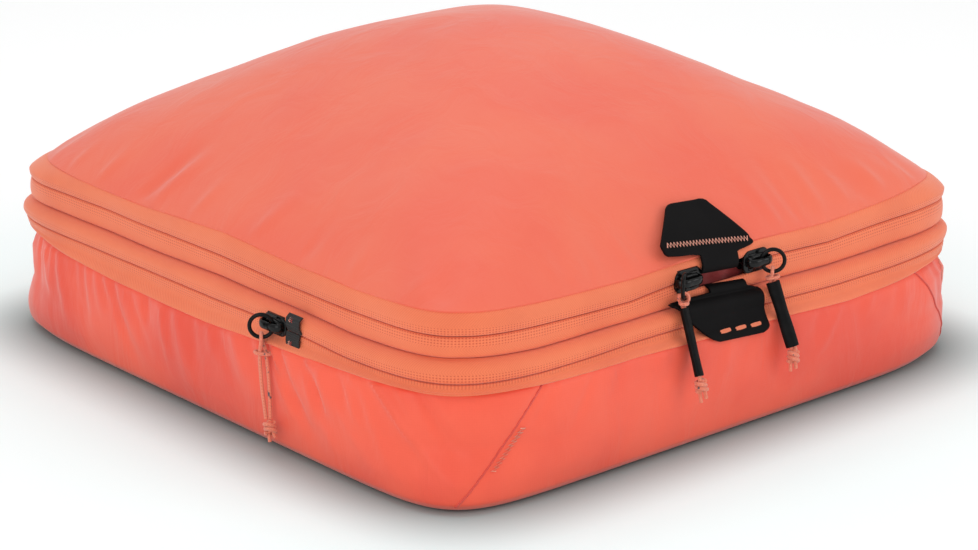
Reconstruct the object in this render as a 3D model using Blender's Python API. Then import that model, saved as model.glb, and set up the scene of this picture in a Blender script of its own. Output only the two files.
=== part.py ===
"""Expandable packing cube: a soft zipped case in three levels, with its zips, sliders and pulls.

Metres, +Z up. The case stands on its base, centred on the origin. Its front, with the two black
tabs, faces -Y, and the side with the expansion slider faces -X.
"""
import math

import bmesh
import bpy
from mathutils import Matrix, Vector

# Driving dimensions
DEPTH_EXTRA = 0.006          # half depth minus half width, at every level
BASE_HALF = 0.1745           # half width of the flat base
BULGE_HALF = 0.1835          # half width of the bottom shell where it bulges most
MAIN_HALF = 0.1705           # half width over the main zip
EXPANSION_HALF = 0.1765      # half width over the expansion zip
SHELL_TOP = 0.0500           # top edge of the bottom shell
EXPANSION_SLIT = 0.0610      # height of the expansion zip's slit
MAIN_SLIT = 0.0795           # height of the main zip's slit
RIM = 0.0903                 # lower edge of the top panel
DOME_RISE = 0.0792           # how far the filled top panel rises over its edge
BASE_POWER = 10.5            # roundness of the plan at the base, higher being squarer
SOFT_POWER = 5.8             # where the fabric bulges
BAND_POWER = 8.8             # along the expansion zip
CRISP_POWER = 11.0           # along the main zip
FABRIC = 0.0015              # thickness of the panels
TAPE = 0.0008                # thickness of the zip tapes
SLIT_HALF = 0.0008           # half the gap between the two coils, where a slider's post runs
GAP = 0.0003                 # clearance between pieces that touch

# The zips stay parted between the two front sliders
PART_CENTRE = -0.0078
PART_FLAT = 0.0158
PART_END = 0.025
PART_RISE = 0.0042

# Sliders, rings and pulls
LEFT_SLIDER_X = -0.0300
RIGHT_SLIDER_X = 0.0145
EXPANSION_SLIDER_Y = -0.0611
PLATE_LENGTH = 0.0165
PLATE_OUT = 0.0005           # from the tape's face to the outer plate
PLATE_THICK = 0.0016
INNER_PLATE_DEPTH = 0.0032   # from the tape's face in to the inner plate
INNER_PLATE_THICK = 0.0012
WIRE = 0.00095               # radius of the ring's wire
RING = 0.00545               # radius of the ring, to the middle of its wire
CORD = 0.00085               # radius of the pull cord
CORD_SPACING = 0.0045        # between the points of a cord
AHEAD_LEFT = 0.0036          # from each slider's centre to the wire in its crown
AHEAD_RIGHT = 0.0018
AHEAD_EXPANSION = -0.0010
SWING_RIGHT = math.radians(-40.9)
SWING_LEFT = math.radians(219.0)
SWING_EXPANSION = math.radians(139.0)

CORAL = (0.86, 0.17, 0.10)
ORANGE = (0.90, 0.27, 0.12)
BLACK = (0.010, 0.010, 0.011)
SALMON = (0.88, 0.33, 0.24)
DARK_RED = (0.20, 0.02, 0.02)


def material(name, colour, roughness, metallic=0.0):
    """A plain material, made once for each name."""
    made = bpy.data.materials.get(name)
    if made is None:
        made = bpy.data.materials.new(name)
        made.use_nodes = True
        shader = made.node_tree.nodes["Principled BSDF"]
        shader.inputs["Base Color"].default_value = (*colour, 1.0)
        shader.inputs["Roughness"].default_value = roughness
        shader.inputs["Metallic"].default_value = metallic
    return made


def finish(mesh, name, finish_material):
    """Turn a bmesh into a named object whose faces point outwards."""
    bmesh.ops.recalc_face_normals(mesh, faces=mesh.faces)
    data = bpy.data.meshes.new(name)
    mesh.to_mesh(data)
    mesh.free()
    data.materials.append(finish_material)
    data.shade_smooth()
    data.set_sharp_from_angle(angle=math.radians(40))
    made = bpy.data.objects.new(name, data)
    bpy.context.scene.collection.objects.link(made)
    return made


def loft(name, rings, finish_material, closed=False):
    """Join rings of points into a solid, end to end (closed) or with a cap at each end."""
    mesh = bmesh.new()
    loops = [[mesh.verts.new(point) for point in ring] for ring in rings]
    pairs = list(zip(loops, loops[1:]))
    if closed:
        pairs.append((loops[-1], loops[0]))
    else:
        mesh.faces.new(loops[0])
        mesh.faces.new(loops[-1])
    for one, two in pairs:
        for i, corner in enumerate(one):
            j = (i + 1) % len(one)
            mesh.faces.new((corner, one[j], two[j], two[i]))
    mesh.normal_update()
    bmesh.ops.triangulate(mesh, faces=mesh.faces)
    return finish(mesh, name, finish_material)


# Plan of the case: a rounded square whose corners are crisp along the zips

def corner_power(height):
    """Roundness of the plan at a height, smoothly from each level to the next."""
    steps = ((0.0, 0.030, BASE_POWER, SOFT_POWER), (SHELL_TOP, 0.0535, SOFT_POWER, BAND_POWER),
             (0.0693, 0.0700, BAND_POWER, CRISP_POWER))
    power = BASE_POWER
    for low, high, before, after in steps:
        share = min(max((height - low) / (high - low), 0.0), 1.0)
        power += (after - before) * share * share * (3.0 - 2.0 * share)
    return power


def directions():
    """Angles of the plan's stations, close together at the corners and at the front opening."""
    half_side = [1.0 - (1.0 - step / 5.0) ** 1.8 for step in range(6)]
    tangents = [-value for value in half_side[:0:-1]] + half_side[:-1]
    angles = []
    for quarter in range(4):
        middle = quarter * math.pi / 2
        angles += [middle + math.atan(tangent) for tangent in tangents]
    front = MAIN_HALF + DEPTH_EXTRA
    offsets = (-PART_END, -0.0205, -PART_FLAT, PART_FLAT, 0.0205, PART_END)
    angles += [-math.pi / 2 + math.atan((PART_CENTRE + offset) / front) for offset in offsets]
    return sorted(angle % (2 * math.pi) for angle in angles)


STATIONS = directions()


def plan(angle, half, power, height):
    """The point of the plan in one direction."""
    across = math.cos(angle)
    along = math.sin(angle)
    reach = (abs(across) ** power + abs(along) ** power) ** (-1.0 / power)
    return Vector((half * reach * across, (half + DEPTH_EXTRA) * reach * along, height))


def parting(x, y):
    """How much of the front opening's lift a point has: 1 between the sliders, 0 elsewhere."""
    if y > 0:
        return 0.0
    share = min(max((PART_END - abs(x - PART_CENTRE)) / (PART_END - PART_FLAT), 0.0), 1.0)
    return share * share * (3.0 - 2.0 * share)


def ring_solid(name, profile, finish_material, lift=0.0):
    """Sweep a closed profile of (half width, height, share of the lift) round the plan."""
    rings = []
    for angle in STATIONS:
        ring = []
        for half, height, share in profile:
            point = plan(angle, half, corner_power(height), height)
            point.z += lift * share * parting(point.x, point.y)
            ring.append(point)
        rings.append(ring)
    return loft(name, rings, finish_material, closed=True)


def inward(path, thickness):
    """A path of (half width, height) moved inwards, square to itself."""
    moved = []
    for i, (half, height) in enumerate(path):
        before = Vector(path[max(i - 1, 0)])
        after = Vector(path[min(i + 1, len(path) - 1)])
        run = (after - before).normalized()
        moved.append((half - run.y * thickness, height + run.x * thickness))
    return moved


def tape(name, path, slit_at_top, lift=0.0):
    """A zip tape, a thin ring along a path of (half width, height) that runs upwards."""
    last = len(path) - 1
    shares = [i / last if slit_at_top else 1.0 - i / last for i in range(last + 1)]
    outer = [(*point, share) for point, share in zip(path, shares)]
    inner = [(*point, share) for point, share in zip(inward(path, TAPE), shares)]
    return ring_solid(name, outer + inner[::-1], material("zip_tape", ORANGE, 0.8), lift)


def coil(name, face_half, low, high, lift=0.0):
    """One half of a nylon coil, behind the edge of its tape."""
    outer = face_half - TAPE - GAP
    inner = outer - 0.0015
    profile = [(outer, low, 1.0), (outer, high, 1.0), (inner, high, 1.0), (inner, low, 1.0)]
    return ring_solid(name, profile, material("zip_coil", ORANGE, 0.5), lift)


# Bottom level

def shell_point(angle, height, proud):
    """A point on the bottom shell's outer wall, moved out by a little."""
    levels = shell_wall()
    for (half_low, low), (half_high, high) in zip(levels, levels[1:]):
        if height <= high:
            below = plan(angle, half_low + proud, corner_power(low), low)
            above = plan(angle, half_high + proud, corner_power(high), high)
            return below.lerp(above, (height - low) / (high - low))
    return plan(angle, levels[-1][0] + proud, corner_power(height), height)


def shell_wall():
    """Outer wall of the bottom shell, from the base up, as (half width, height)."""
    return [(BASE_HALF, 0.0), (BASE_HALF + 0.0050, 0.0040), (BULGE_HALF - 0.0010, 0.0150),
            (BULGE_HALF - 0.0003, 0.0250), (BULGE_HALF, 0.0350), (BULGE_HALF - 0.0015, SHELL_TOP)]


def bottom_shell():
    """Walls and base of the bottom level, with the facing that backs the lower zip tape."""
    wall = shell_wall()
    facing = [(0.1790, SHELL_TOP), (0.1722, 0.0515), (0.1705, 0.0530), (0.1705, 0.0572)]
    facing_inside = [(0.1690, 0.0572), (0.1690, 0.0520), (0.1700, 0.0503), (0.1775, 0.0485)]
    wall_inside = [(half - FABRIC - 0.0002, height) for half, height in wall[4:0:-1]]
    wall_inside[-1] = (wall[1][0] - 0.0020, 0.0045)
    floor = [(BASE_HALF - 0.0015, FABRIC)]
    path = wall + facing + facing_inside + [(0.1801, 0.0470)] + wall_inside + floor
    rings = [[plan(angle, half, corner_power(z), z) for angle in STATIONS] for half, z in path]
    return loft("bottom_shell", rings, material("panel_fabric", CORAL, 0.6))


def corner_seam(name, top_angle, foot_angle):
    """The raised seam that closes a mitred corner of the bottom shell."""
    rings = []
    turn = math.copysign(0.0085, foot_angle - top_angle)
    for step in range(7):
        share = step / 6.0
        height = 0.0485 - 0.0445 * share
        angle = top_angle + (foot_angle - top_angle) * share
        inner = [shell_point(angle + side * turn, height, GAP) for side in (0, 1)]
        outer = [shell_point(angle + side * turn, height, GAP + 0.0009) for side in (1, 0)]
        rings.append(inner + outer)
    return loft(name, rings, material("seam", CORAL, 0.6))


def gusset():
    """The fabric between the levels, folded up inside while the expansion zip is shut."""
    outer = [(0.1612, 0.0300, 0.0), (0.1600, 0.0450, 0.0), (0.1612, 0.0600, 0.0)]
    inner = [(half - 0.0010, height, 0.0) for half, height, _ in outer[::-1]]
    return ring_solid("gusset", outer + inner, material("lining", DARK_RED, 0.8))


def side_patch(name, path):
    """A patch over the end of the expansion zip, on the -X side in front of the slider."""
    rings = []
    for y in (-0.0815, -0.0741):
        outer = [Vector((-half - GAP - 0.0008, y, height)) for half, height in path]
        inner = [Vector((-half - GAP, y, height)) for half, height in path[::-1]]
        rings.append(outer + inner)
    return loft(name, rings, material("black_webbing", BLACK, 0.7))


# Top level

def dome_height(x, y):
    """Height of the filled top panel over a point of the plan."""
    half = MAIN_HALF + 0.0007
    u = abs(x) / half
    v = abs(y) / (half + DEPTH_EXTRA)
    # Level lines are nearly square at the edge and rounder towards the middle
    edge = (u ** CRISP_POWER + v ** CRISP_POWER) ** (1.0 / CRISP_POWER)
    power = 3.54 + (CRISP_POWER - 3.54) * min(edge, 1.0) ** 4
    reach = (u ** power + v ** power) ** (1.0 / power)
    return RIM + DOME_RISE * max(1.0 - reach ** 1.68, 0.0) ** 0.9


def dome_ring(share, drop):
    """A ring of the top panel, at a share of the way from its middle to its edge."""
    ring = []
    for angle in STATIONS:
        point = plan(angle, (MAIN_HALF + 0.0007) * share, CRISP_POWER, 0.0)
        point.y = point.y * (MAIN_HALF + 0.0007 + DEPTH_EXTRA) * share / (
            (MAIN_HALF + 0.0007) * share + DEPTH_EXTRA)
        point.z = dome_height(point.x, point.y) - drop
        ring.append(point)
    return ring


def flat_ring(half, height):
    """A level ring of the plan."""
    return [plan(angle, half, CRISP_POWER, height) for angle in STATIONS]


def top_panel():
    """The domed top, a shell open below, with a facing that backs the upper zip tape."""
    outside = [dome_ring(share, 0.0) for share in (0.12, 0.35, 0.58, 0.76, 0.88, 0.95, 0.985)]
    rim = [flat_ring(MAIN_HALF + 0.0007, RIM), flat_ring(0.1665, RIM), flat_ring(0.1655, 0.0885),
           flat_ring(0.1655, 0.0835), flat_ring(0.1640, 0.0835), flat_ring(0.1640, 0.0905)]
    inside = [dome_ring(share, FABRIC + 0.0003) for share in (0.92, 0.76, 0.58, 0.35, 0.12)]
    return loft("top_panel", outside + rim + inside, material("panel_fabric", CORAL, 0.6))


# Tabs at the front

STRAP_CENTRE = -0.0050
STRAP_HALF = 0.0104


def rounded_widths(wide, narrow, count):
    """Half widths of a tab from its wide end to its narrow end, with rounded corners."""
    widths = []
    for step in range(count):
        share = step / (count - 1)
        half = wide + (narrow - wide) * share
        corner = 0.0030 * max(0.0, 1.0 - min(share, 1.0 - share) * (count - 1))
        widths.append(half - corner)
    return widths


def sheet_solid(name, rows, thickness, finish_material):
    """A thin sheet: rows of (left x, right x, y, z, way out), given its thickness outwards."""
    columns = 5
    rings = []
    for column in range(columns):
        share = column / (columns - 1)
        face = []
        back = []
        for left, right, y, z, way in rows:
            x = left + (right - left) * share
            point = Vector((x, y, z))
            face.append(point + way * thickness)
            back.append(point)
        rings.append(face + back[::-1])
    return loft(name, rings, finish_material)


def ways_out(places):
    """The outward direction, in the YZ plane, at each (y, z) of a path that runs upwards."""
    ways = []
    for i in range(len(places)):
        before = Vector(places[max(i - 1, 0)])
        after = Vector(places[min(i + 1, len(places) - 1)])
        run = (after - before).normalized()
        ways.append(Vector((0.0, -run.y, run.x)))
    return ways


def tab(name, strap, plate, bottom_end, top_end):
    """A strap and its wide plate as one solid, along a path of (y, z) places.

    An end is the plate's (centre, half width) in X; the plate begins at the strap."""
    (start, wide), (end, narrow) = bottom_end, top_end
    widths = rounded_widths(wide, narrow, len(plate))
    places = strap + plate
    rows = []
    for i, (y, z) in enumerate(places):
        if i < len(strap):
            centre, half = STRAP_CENTRE, STRAP_HALF
        else:
            share = (i - len(strap)) / (len(plate) - 1)
            centre, half = start + (end - start) * share, widths[i - len(strap)]
        rows.append((centre - half, centre + half, y, z))
    if places[-1][1] < places[0][1]:
        rows.reverse()
    ways = ways_out([row[2:] for row in rows])
    rows = [row + (way,) for row, way in zip(rows, ways)]
    return sheet_solid(name, rows, 0.0012, material("coated_black", BLACK, 0.55))


def top_tab():
    """The trapezoid on the top panel, whose strap folds into the front opening."""
    front = MAIN_HALF + DEPTH_EXTRA
    strap = [(-front + 0.0030, 0.0834), (-front - 0.0004, 0.0836), (-front - 0.0010, 0.0850),
             (-front - 0.0011, 0.0868)]
    plate = [(-front - 0.0012, 0.0872), (-front - 0.0013, 0.0885), (-front - 0.0014, RIM)]
    for y in (-0.1757, -0.1722, -0.1680, -0.1637, -0.1594, -0.1556):
        plate.append((y - 0.0007, dome_height(-0.012, y) + 0.0016))
    return tab("top_tab", strap, plate, (-0.0158, 0.0275), (-0.0087, 0.0122))


def bottom_tab():
    """The lower trapezoid, hung from the collar over the expansion zip."""
    front = MAIN_HALF + DEPTH_EXTRA
    strap = [(-front + 0.0030, 0.0756), (-front - 0.0004, 0.0754), (-front - 0.0008, 0.0742),
             (-front - 0.0006, 0.0715)]
    plate = [(-front - 0.0008, 0.0705), (-front - 0.0022, 0.0695), (-front - 0.0056, 0.0676),
             (-front - 0.0067, 0.0650), (-front - 0.0070, 0.0590), (-front - 0.0103, 0.0552),
             (-front - 0.0123, 0.0522), (-front - 0.0128, 0.0502)]
    return tab("bottom_tab", strap, plate, (-0.0128, 0.0283), (-0.0035, 0.0165))


# Hardware. A slider's own frame: X runs to its ring, Y is up, Z points out of the tape

def slider_frame(x, y, z, heading, outwards):
    """The matrix that puts a slider's own frame on the tape."""
    ahead = Vector(heading)
    out = Vector(outwards)
    up = out.cross(ahead)
    turn = Matrix((ahead, up, out)).transposed().to_4x4()
    return Matrix.Translation((x, y, z)) @ turn


def slab(name, length, width, low, high, centre, finish_material):
    """A plate with rounded ends, between two levels of a slider's own frame."""
    outline = []
    for step in range(16):
        angle = step * math.tau / 16 + math.tau / 32
        across = math.copysign(abs(math.cos(angle)) ** 0.5, math.cos(angle))
        along = math.copysign(abs(math.sin(angle)) ** 0.5, math.sin(angle))
        outline.append((centre + across * length / 2, along * width / 2))
    rings = [[Vector((u, v, level)) for u, v in outline] for level in (low, high)]
    return loft(name, rings, finish_material)


def crown(name, low, high, finish_material):
    """The bridge on a slider, which the ring's wire passes under."""
    outer = [(-0.0062, low), (-0.0062, low + 0.0022), (-0.0048, high), (0.0062, high),
             (0.0078, low + 0.0022), (0.0078, low)]
    inner = [(0.0062, low), (0.0062, low + 0.0020), (0.0050, high - 0.0013),
             (-0.0034, high - 0.0013), (-0.0044, low + 0.0020), (-0.0044, low)]
    profile = outer + inner
    rings = [[Vector((u, v, w)) for u, w in profile] for v in (-0.0018, 0.0018)]
    return loft(name, rings, finish_material)


def slider(name, frame, half_height):
    """A slider: two plates joined by a thin post in the slit, and a crown for the ring."""
    metal = material("slider_black", BLACK, 0.3)
    outer_top = PLATE_OUT + PLATE_THICK
    body = slab(name, PLATE_LENGTH, 2 * half_height, PLATE_OUT, outer_top, 0.0, metal)
    inner = slab(name + "_inner", PLATE_LENGTH - 0.001, 2 * half_height - 0.001,
                 -INNER_PLATE_DEPTH - INNER_PLATE_THICK, -INNER_PLATE_DEPTH, 0.0, metal)
    post = slab(name + "_post", 0.004, 0.001, -INNER_PLATE_DEPTH - 0.0004, PLATE_OUT + 0.0004,
                -0.0060, metal)
    bridge = crown(name + "_crown", outer_top - 0.0004, outer_top + 0.0041, metal)
    for i, piece in enumerate((post, inner, bridge)):
        piece.hide_render = True
        piece.display_type = "WIRE"
        piece.matrix_world = frame
        union = body.modifiers.new("join_%d" % i, "BOOLEAN")
        union.operation = "UNION"
        union.solver = "EXACT"
        union.object = piece
    body.matrix_world = frame
    return body


def ring_centre(frame, ahead, swing):
    """Which way a ring stands from the wire in its crown, and the ring's centre."""
    wire = frame @ Vector((ahead, 0.0, PLATE_OUT + PLATE_THICK + 2 * GAP + WIRE - 0.0001))
    way = Vector((math.cos(swing), math.sin(swing), 0.0))
    return way, wire + way * RING


def wire_ring(name, centre, way):
    """The pull's round wire ring, upright, in the plane of its way out."""
    rings = []
    for step in range(20):
        turn = step * math.tau / 20
        spoke = way * math.cos(turn) + Vector((0, 0, 1)) * math.sin(turn)
        side = spoke.cross(way.cross(Vector((0, 0, 1))))
        across = side.cross(spoke)
        middle = centre + spoke * RING
        ring = []
        for k in range(6):
            angle = k * math.tau / 6
            ring.append(middle + (spoke * math.cos(angle) + across * math.sin(angle)) * WIRE)
        rings.append(ring)
    return loft(name, rings, material("wire_black", BLACK, 0.35), closed=True)


def smooth_path(points, spacing):
    """Places along a smooth curve through the points, about one spacing apart."""
    gaps = [(after - before).length for before, after in zip(points, points[1:])]
    slopes = [(after - before) / gap for before, after, gap in zip(points, points[1:], gaps)]
    tangents = [slopes[0]]
    for i in range(1, len(slopes)):
        total = gaps[i - 1] + gaps[i]
        tangents.append((slopes[i - 1] * gaps[i] + slopes[i] * gaps[i - 1]) / total)
    tangents.append(slopes[-1])
    places = [points[0]]
    for i, gap in enumerate(gaps):
        steps = max(1, round(gap / spacing))
        for step in range(1, steps + 1):
            t = step / steps
            keep = t * t * (2 * t - 3) + 1
            place = points[i] * keep + points[i + 1] * (1 - keep)
            place += tangents[i] * gap * t * (1 - t) ** 2
            place -= tangents[i + 1] * gap * t * t * (1 - t)
            places.append(place)
    return places


def cord(name, route):
    """A plain tube along a route of points."""
    curve = bpy.data.curves.new(name, "CURVE")
    curve.dimensions = "3D"
    curve.bevel_depth = CORD
    curve.bevel_resolution = 2
    curve.use_fill_caps = True
    spline = curve.splines.new("POLY")
    places = smooth_path(route, CORD_SPACING)
    spline.points.add(len(places) - 1)
    for point, place in zip(spline.points, places):
        point.co = (*place, 1.0)
    curve.materials.append(material("pull_cord", SALMON, 0.8))
    made = bpy.data.objects.new(name, curve)
    bpy.context.scene.collection.objects.link(made)
    return made


def knot(name, top, foot, finish_material):
    """The knot under a pull with its two cut ends, as one plain turned solid."""
    axis = (foot - top).normalized()
    side = axis.orthogonal().normalized()
    other = axis.cross(side)
    length = (foot - top).length
    profile = [(0.0, 0.0012), (0.12, 0.0027), (0.34, 0.0030), (0.52, 0.0024), (0.62, 0.0017),
               (1.0, 0.0014)]
    rings = []
    for share, radius in profile:
        middle = top + axis * length * share
        ring = []
        for k in range(8):
            angle = k * math.tau / 8
            ring.append(middle + (side * math.cos(angle) + other * math.sin(angle)) * radius)
        rings.append(ring)
    return loft(name, rings, finish_material)


def sleeve(name, top, foot, way):
    """The flat rubber tube round the two strands of a front pull."""
    axis = (foot - top).normalized()
    wide = (way - axis * way.dot(axis)).normalized()
    thin = axis.cross(wide)
    wall = [(0.0032, 0.0021, 0.0), (0.0032, 0.0021, 1.0), (0.0024, 0.0015, 1.0),
            (0.0024, 0.0015, 0.0)]
    rings = []
    for half_wide, half_thin, share in wall:
        middle = top + (foot - top) * share
        ring = []
        for k in range(12):
            angle = k * math.tau / 12
            ring.append(middle + wide * half_wide * math.cos(angle)
                        + thin * half_thin * math.sin(angle))
        rings.append(ring)
    return loft(name, rings, material("sleeve_rubber", BLACK, 0.6), closed=True)


def pull(side, centre, way, facing, foot, knot_foot):
    """Cord, sleeve and knot of a front pull, hung from its ring."""
    low = centre - Vector((0, 0, RING))
    top = low - Vector((0, 0, 0.0043)) + (foot - low) * 0.02
    axis = (foot - top).normalized()
    around = WIRE + GAP + CORD + 0.0001
    strands = []
    for turn in (1, -1):
        strands.append([low + (facing * around - way * 0.0004) * turn - Vector((0, 0, 0.0002)),
                        top + (facing * 0.0004 - way * 0.0008) * turn - axis * 0.0014,
                        top - way * 0.0010 * turn + axis * 0.0025,
                        foot - way * 0.0010 * turn + axis * 0.0006])
    quarter = around * 0.72
    crest = [low + facing * quarter - way * 0.0003 + Vector((0, 0, quarter)),
             low + Vector((0, 0, around)),
             low - facing * quarter + way * 0.0003 + Vector((0, 0, quarter))]
    cord("cord_" + side, strands[0][::-1] + crest + strands[1])
    sleeve("sleeve_" + side, top, foot, way)
    knot("knot_" + side, foot + axis * 0.0010, knot_foot, material("pull_cord", SALMON, 0.8))


def expansion_pull(centre, way, facing, foot, knot_foot):
    """The bare doubled cord on the expansion slider's ring, with its knot."""
    low = centre - Vector((0, 0, RING))
    axis = (foot - low).normalized()
    around = WIRE + GAP + CORD + 0.0001
    quarter = around * 0.72
    crest = [low + facing * quarter + Vector((0, 0, quarter)), low + Vector((0, 0, around)),
             low - facing * quarter + Vector((0, 0, quarter))]
    strands = []
    for turn in (1, -1):
        strands.append([low + facing * around * turn - Vector((0, 0, 0.0004)),
                        low + axis * 0.0065 + facing * 0.0014 * turn,
                        low + axis * 0.0200 + facing * 0.00125 * turn,
                        foot + facing * 0.00125 * turn])
    cord("cord_expansion", strands[0][::-1] + crest + strands[1])
    knot("knot_expansion", foot + axis * 0.0004, knot_foot, material("pull_cord", SALMON, 0.8))


def main():
    for old in list(bpy.data.objects):
        bpy.data.objects.remove(old)

    bottom_shell()
    gusset()
    quarter = math.pi / 2
    for name, turn, sense in (("corner_seam_front_left", 2, 1), ("corner_seam_front_right", 3, -1),
                              ("corner_seam_back_right", 0, 1), ("corner_seam_back_left", 1, -1)):
        middle = turn * quarter + quarter / 2
        corner_seam(name, middle + sense * 0.170, middle + sense * 0.020)
    tape("expansion_tape_lower", [(0.1822, 0.0512), (EXPANSION_HALF, 0.0545),
                                  (EXPANSION_HALF, EXPANSION_SLIT - SLIT_HALF)], True)
    coil("expansion_coil_lower", EXPANSION_HALF, EXPANSION_SLIT - SLIT_HALF - 0.0015,
         EXPANSION_SLIT - SLIT_HALF)
    side_patch("end_cover_lower", [(EXPANSION_HALF, 0.0550), (EXPANSION_HALF, 0.0604)])

    ring_solid("collar_band", [(0.1655, 0.0615, 0.0), (0.1655, 0.0695, 0.0), (0.1655, 0.0740, 0.0),
                               (0.1640, 0.0740, 0.0), (0.1640, 0.0615, 0.0)],
               material("lining", DARK_RED, 0.8))
    tape("expansion_tape_upper", [(EXPANSION_HALF, EXPANSION_SLIT + SLIT_HALF),
                                  (EXPANSION_HALF, 0.0658), (0.1715, 0.0693)], False)
    coil("expansion_coil_upper", EXPANSION_HALF, EXPANSION_SLIT + SLIT_HALF,
         EXPANSION_SLIT + SLIT_HALF + 0.0015)
    side_patch("end_cover_upper", [(EXPANSION_HALF, 0.0616), (EXPANSION_HALF, 0.0658)])
    tape("main_tape_lower", [(0.1698, 0.0700), (MAIN_HALF, 0.0730),
                             (MAIN_HALF, MAIN_SLIT - SLIT_HALF)], True, -PART_RISE)
    coil("main_coil_lower", MAIN_HALF, MAIN_SLIT - SLIT_HALF - 0.0015, MAIN_SLIT - SLIT_HALF,
         -PART_RISE)
    bottom_tab()

    top_panel()
    tape("main_tape_upper", [(MAIN_HALF, MAIN_SLIT + SLIT_HALF), (MAIN_HALF, 0.0860),
                             (0.1702, 0.0898)], False, PART_RISE)
    coil("main_coil_upper", MAIN_HALF, MAIN_SLIT + SLIT_HALF, MAIN_SLIT + SLIT_HALF + 0.0015,
         PART_RISE)
    top_tab()

    front = -(MAIN_HALF + DEPTH_EXTRA)
    left = slider_frame(LEFT_SLIDER_X, front, MAIN_SLIT, (-1, 0, 0), (0, -1, 0))
    right = slider_frame(RIGHT_SLIDER_X, front, MAIN_SLIT, (1, 0, 0), (0, -1, 0))
    lower = slider_frame(-EXPANSION_HALF, EXPANSION_SLIDER_Y, EXPANSION_SLIT, (0, 1, 0), (-1, 0, 0))
    slider("slider_left", left, 0.0055)
    slider("slider_right", right, 0.0055)
    slider("slider_expansion", lower, 0.0048)
    way_left, centre_left = ring_centre(left, AHEAD_LEFT, SWING_LEFT)
    way_right, centre_right = ring_centre(right, AHEAD_RIGHT, SWING_RIGHT)
    way_lower, centre_lower = ring_centre(lower, AHEAD_EXPANSION, SWING_EXPANSION)
    wire_ring("ring_left", centre_left, way_left)
    wire_ring("ring_right", centre_right, way_right)
    wire_ring("ring_expansion", centre_lower, way_lower)
    pull("left", centre_left, way_left, Vector((-way_left.y, way_left.x, 0.0)),
         Vector((-0.0405, -0.1972, 0.0405)), Vector((-0.0385, -0.1987, 0.0280)))
    pull("right", centre_right, way_right, Vector((way_right.y, -way_right.x, 0.0)),
         Vector((0.0228, -0.1958, 0.0395)), Vector((0.0225, -0.1970, 0.0275)))
    expansion_pull(centre_lower, way_lower, Vector((-way_lower.y, way_lower.x, 0.0)),
                   Vector((-0.1878, -0.0670, 0.0190)), Vector((-0.1882, -0.0705, 0.0090)))


main()
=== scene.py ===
"""Packing cube: the visual model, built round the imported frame.

Metres, +Z up. The front, with the two black tabs and two sliders, faces -Y, and the side with the
expansion slider faces -X.
"""
import math
import random
from contextlib import contextmanager

import bmesh
import bpy
import numpy as np
from mathutils import Matrix, Vector, noise


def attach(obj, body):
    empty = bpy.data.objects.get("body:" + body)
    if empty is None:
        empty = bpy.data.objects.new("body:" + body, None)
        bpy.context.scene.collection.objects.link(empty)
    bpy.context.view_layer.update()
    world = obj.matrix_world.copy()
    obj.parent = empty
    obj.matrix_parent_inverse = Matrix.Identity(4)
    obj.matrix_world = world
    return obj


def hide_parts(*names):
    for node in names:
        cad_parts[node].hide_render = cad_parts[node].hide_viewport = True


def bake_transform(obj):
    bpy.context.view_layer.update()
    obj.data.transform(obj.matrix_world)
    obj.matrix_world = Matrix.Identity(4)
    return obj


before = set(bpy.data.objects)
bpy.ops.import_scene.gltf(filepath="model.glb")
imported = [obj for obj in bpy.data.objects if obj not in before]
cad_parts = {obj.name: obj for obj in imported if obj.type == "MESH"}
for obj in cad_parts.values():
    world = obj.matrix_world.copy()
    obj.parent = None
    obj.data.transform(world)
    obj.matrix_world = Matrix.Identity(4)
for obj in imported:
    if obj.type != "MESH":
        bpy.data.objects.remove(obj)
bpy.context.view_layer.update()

# Sizes shared with the frame
DEPTH_EXTRA = 0.006
BASE_HALF = 0.1745
BULGE_HALF = 0.1835
MAIN_HALF = 0.1705
EXPANSION_HALF = 0.1765
EXPANSION_SLIT = 0.0610
MAIN_SLIT = 0.0795
RIM = 0.0903
DOME_RISE = 0.0792
BASE_POWER = 10.5
SOFT_POWER = 5.8
BAND_POWER = 8.8
CRISP_POWER = 11.0
PART_CENTRE = -0.0078
PART_FLAT = 0.0158
PART_END = 0.025
UPPER_RISE = 0.0026           # how far the open zip's upper and lower edges stand apart
LOWER_DROP = 0.0056
WIRE = 0.00095
RING = 0.00545
CORD = 0.00085
AROUND = WIRE + 0.0003 + CORD + 0.0001    # from the middle of a ring's wire to the cord's middle
MAIN_FRONT = -(MAIN_HALF + DEPTH_EXTRA)


# Camera

AIM = Vector((-0.036, -0.046, 0.050))
AZIMUTH = math.radians(-40.9)
ELEVATION = math.radians(18.4)
DISTANCE = 1.335


def place_camera():
    """A long lens that looks down on the front left corner."""
    level = math.cos(ELEVATION) * DISTANCE
    eye = AIM + Vector((math.sin(AZIMUTH) * level, -math.cos(AZIMUTH) * level,
                        math.sin(ELEVATION) * DISTANCE))
    bpy.ops.object.camera_add(location=eye)
    camera = bpy.context.object
    camera.rotation_euler = (AIM - eye).to_track_quat("-Z", "Y").to_euler()
    camera.data.lens = 99.4
    camera.data.sensor_width = 36.0
    camera.data.clip_start = 0.02
    bpy.context.scene.camera = camera


place_camera()


# Shader tools

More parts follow.
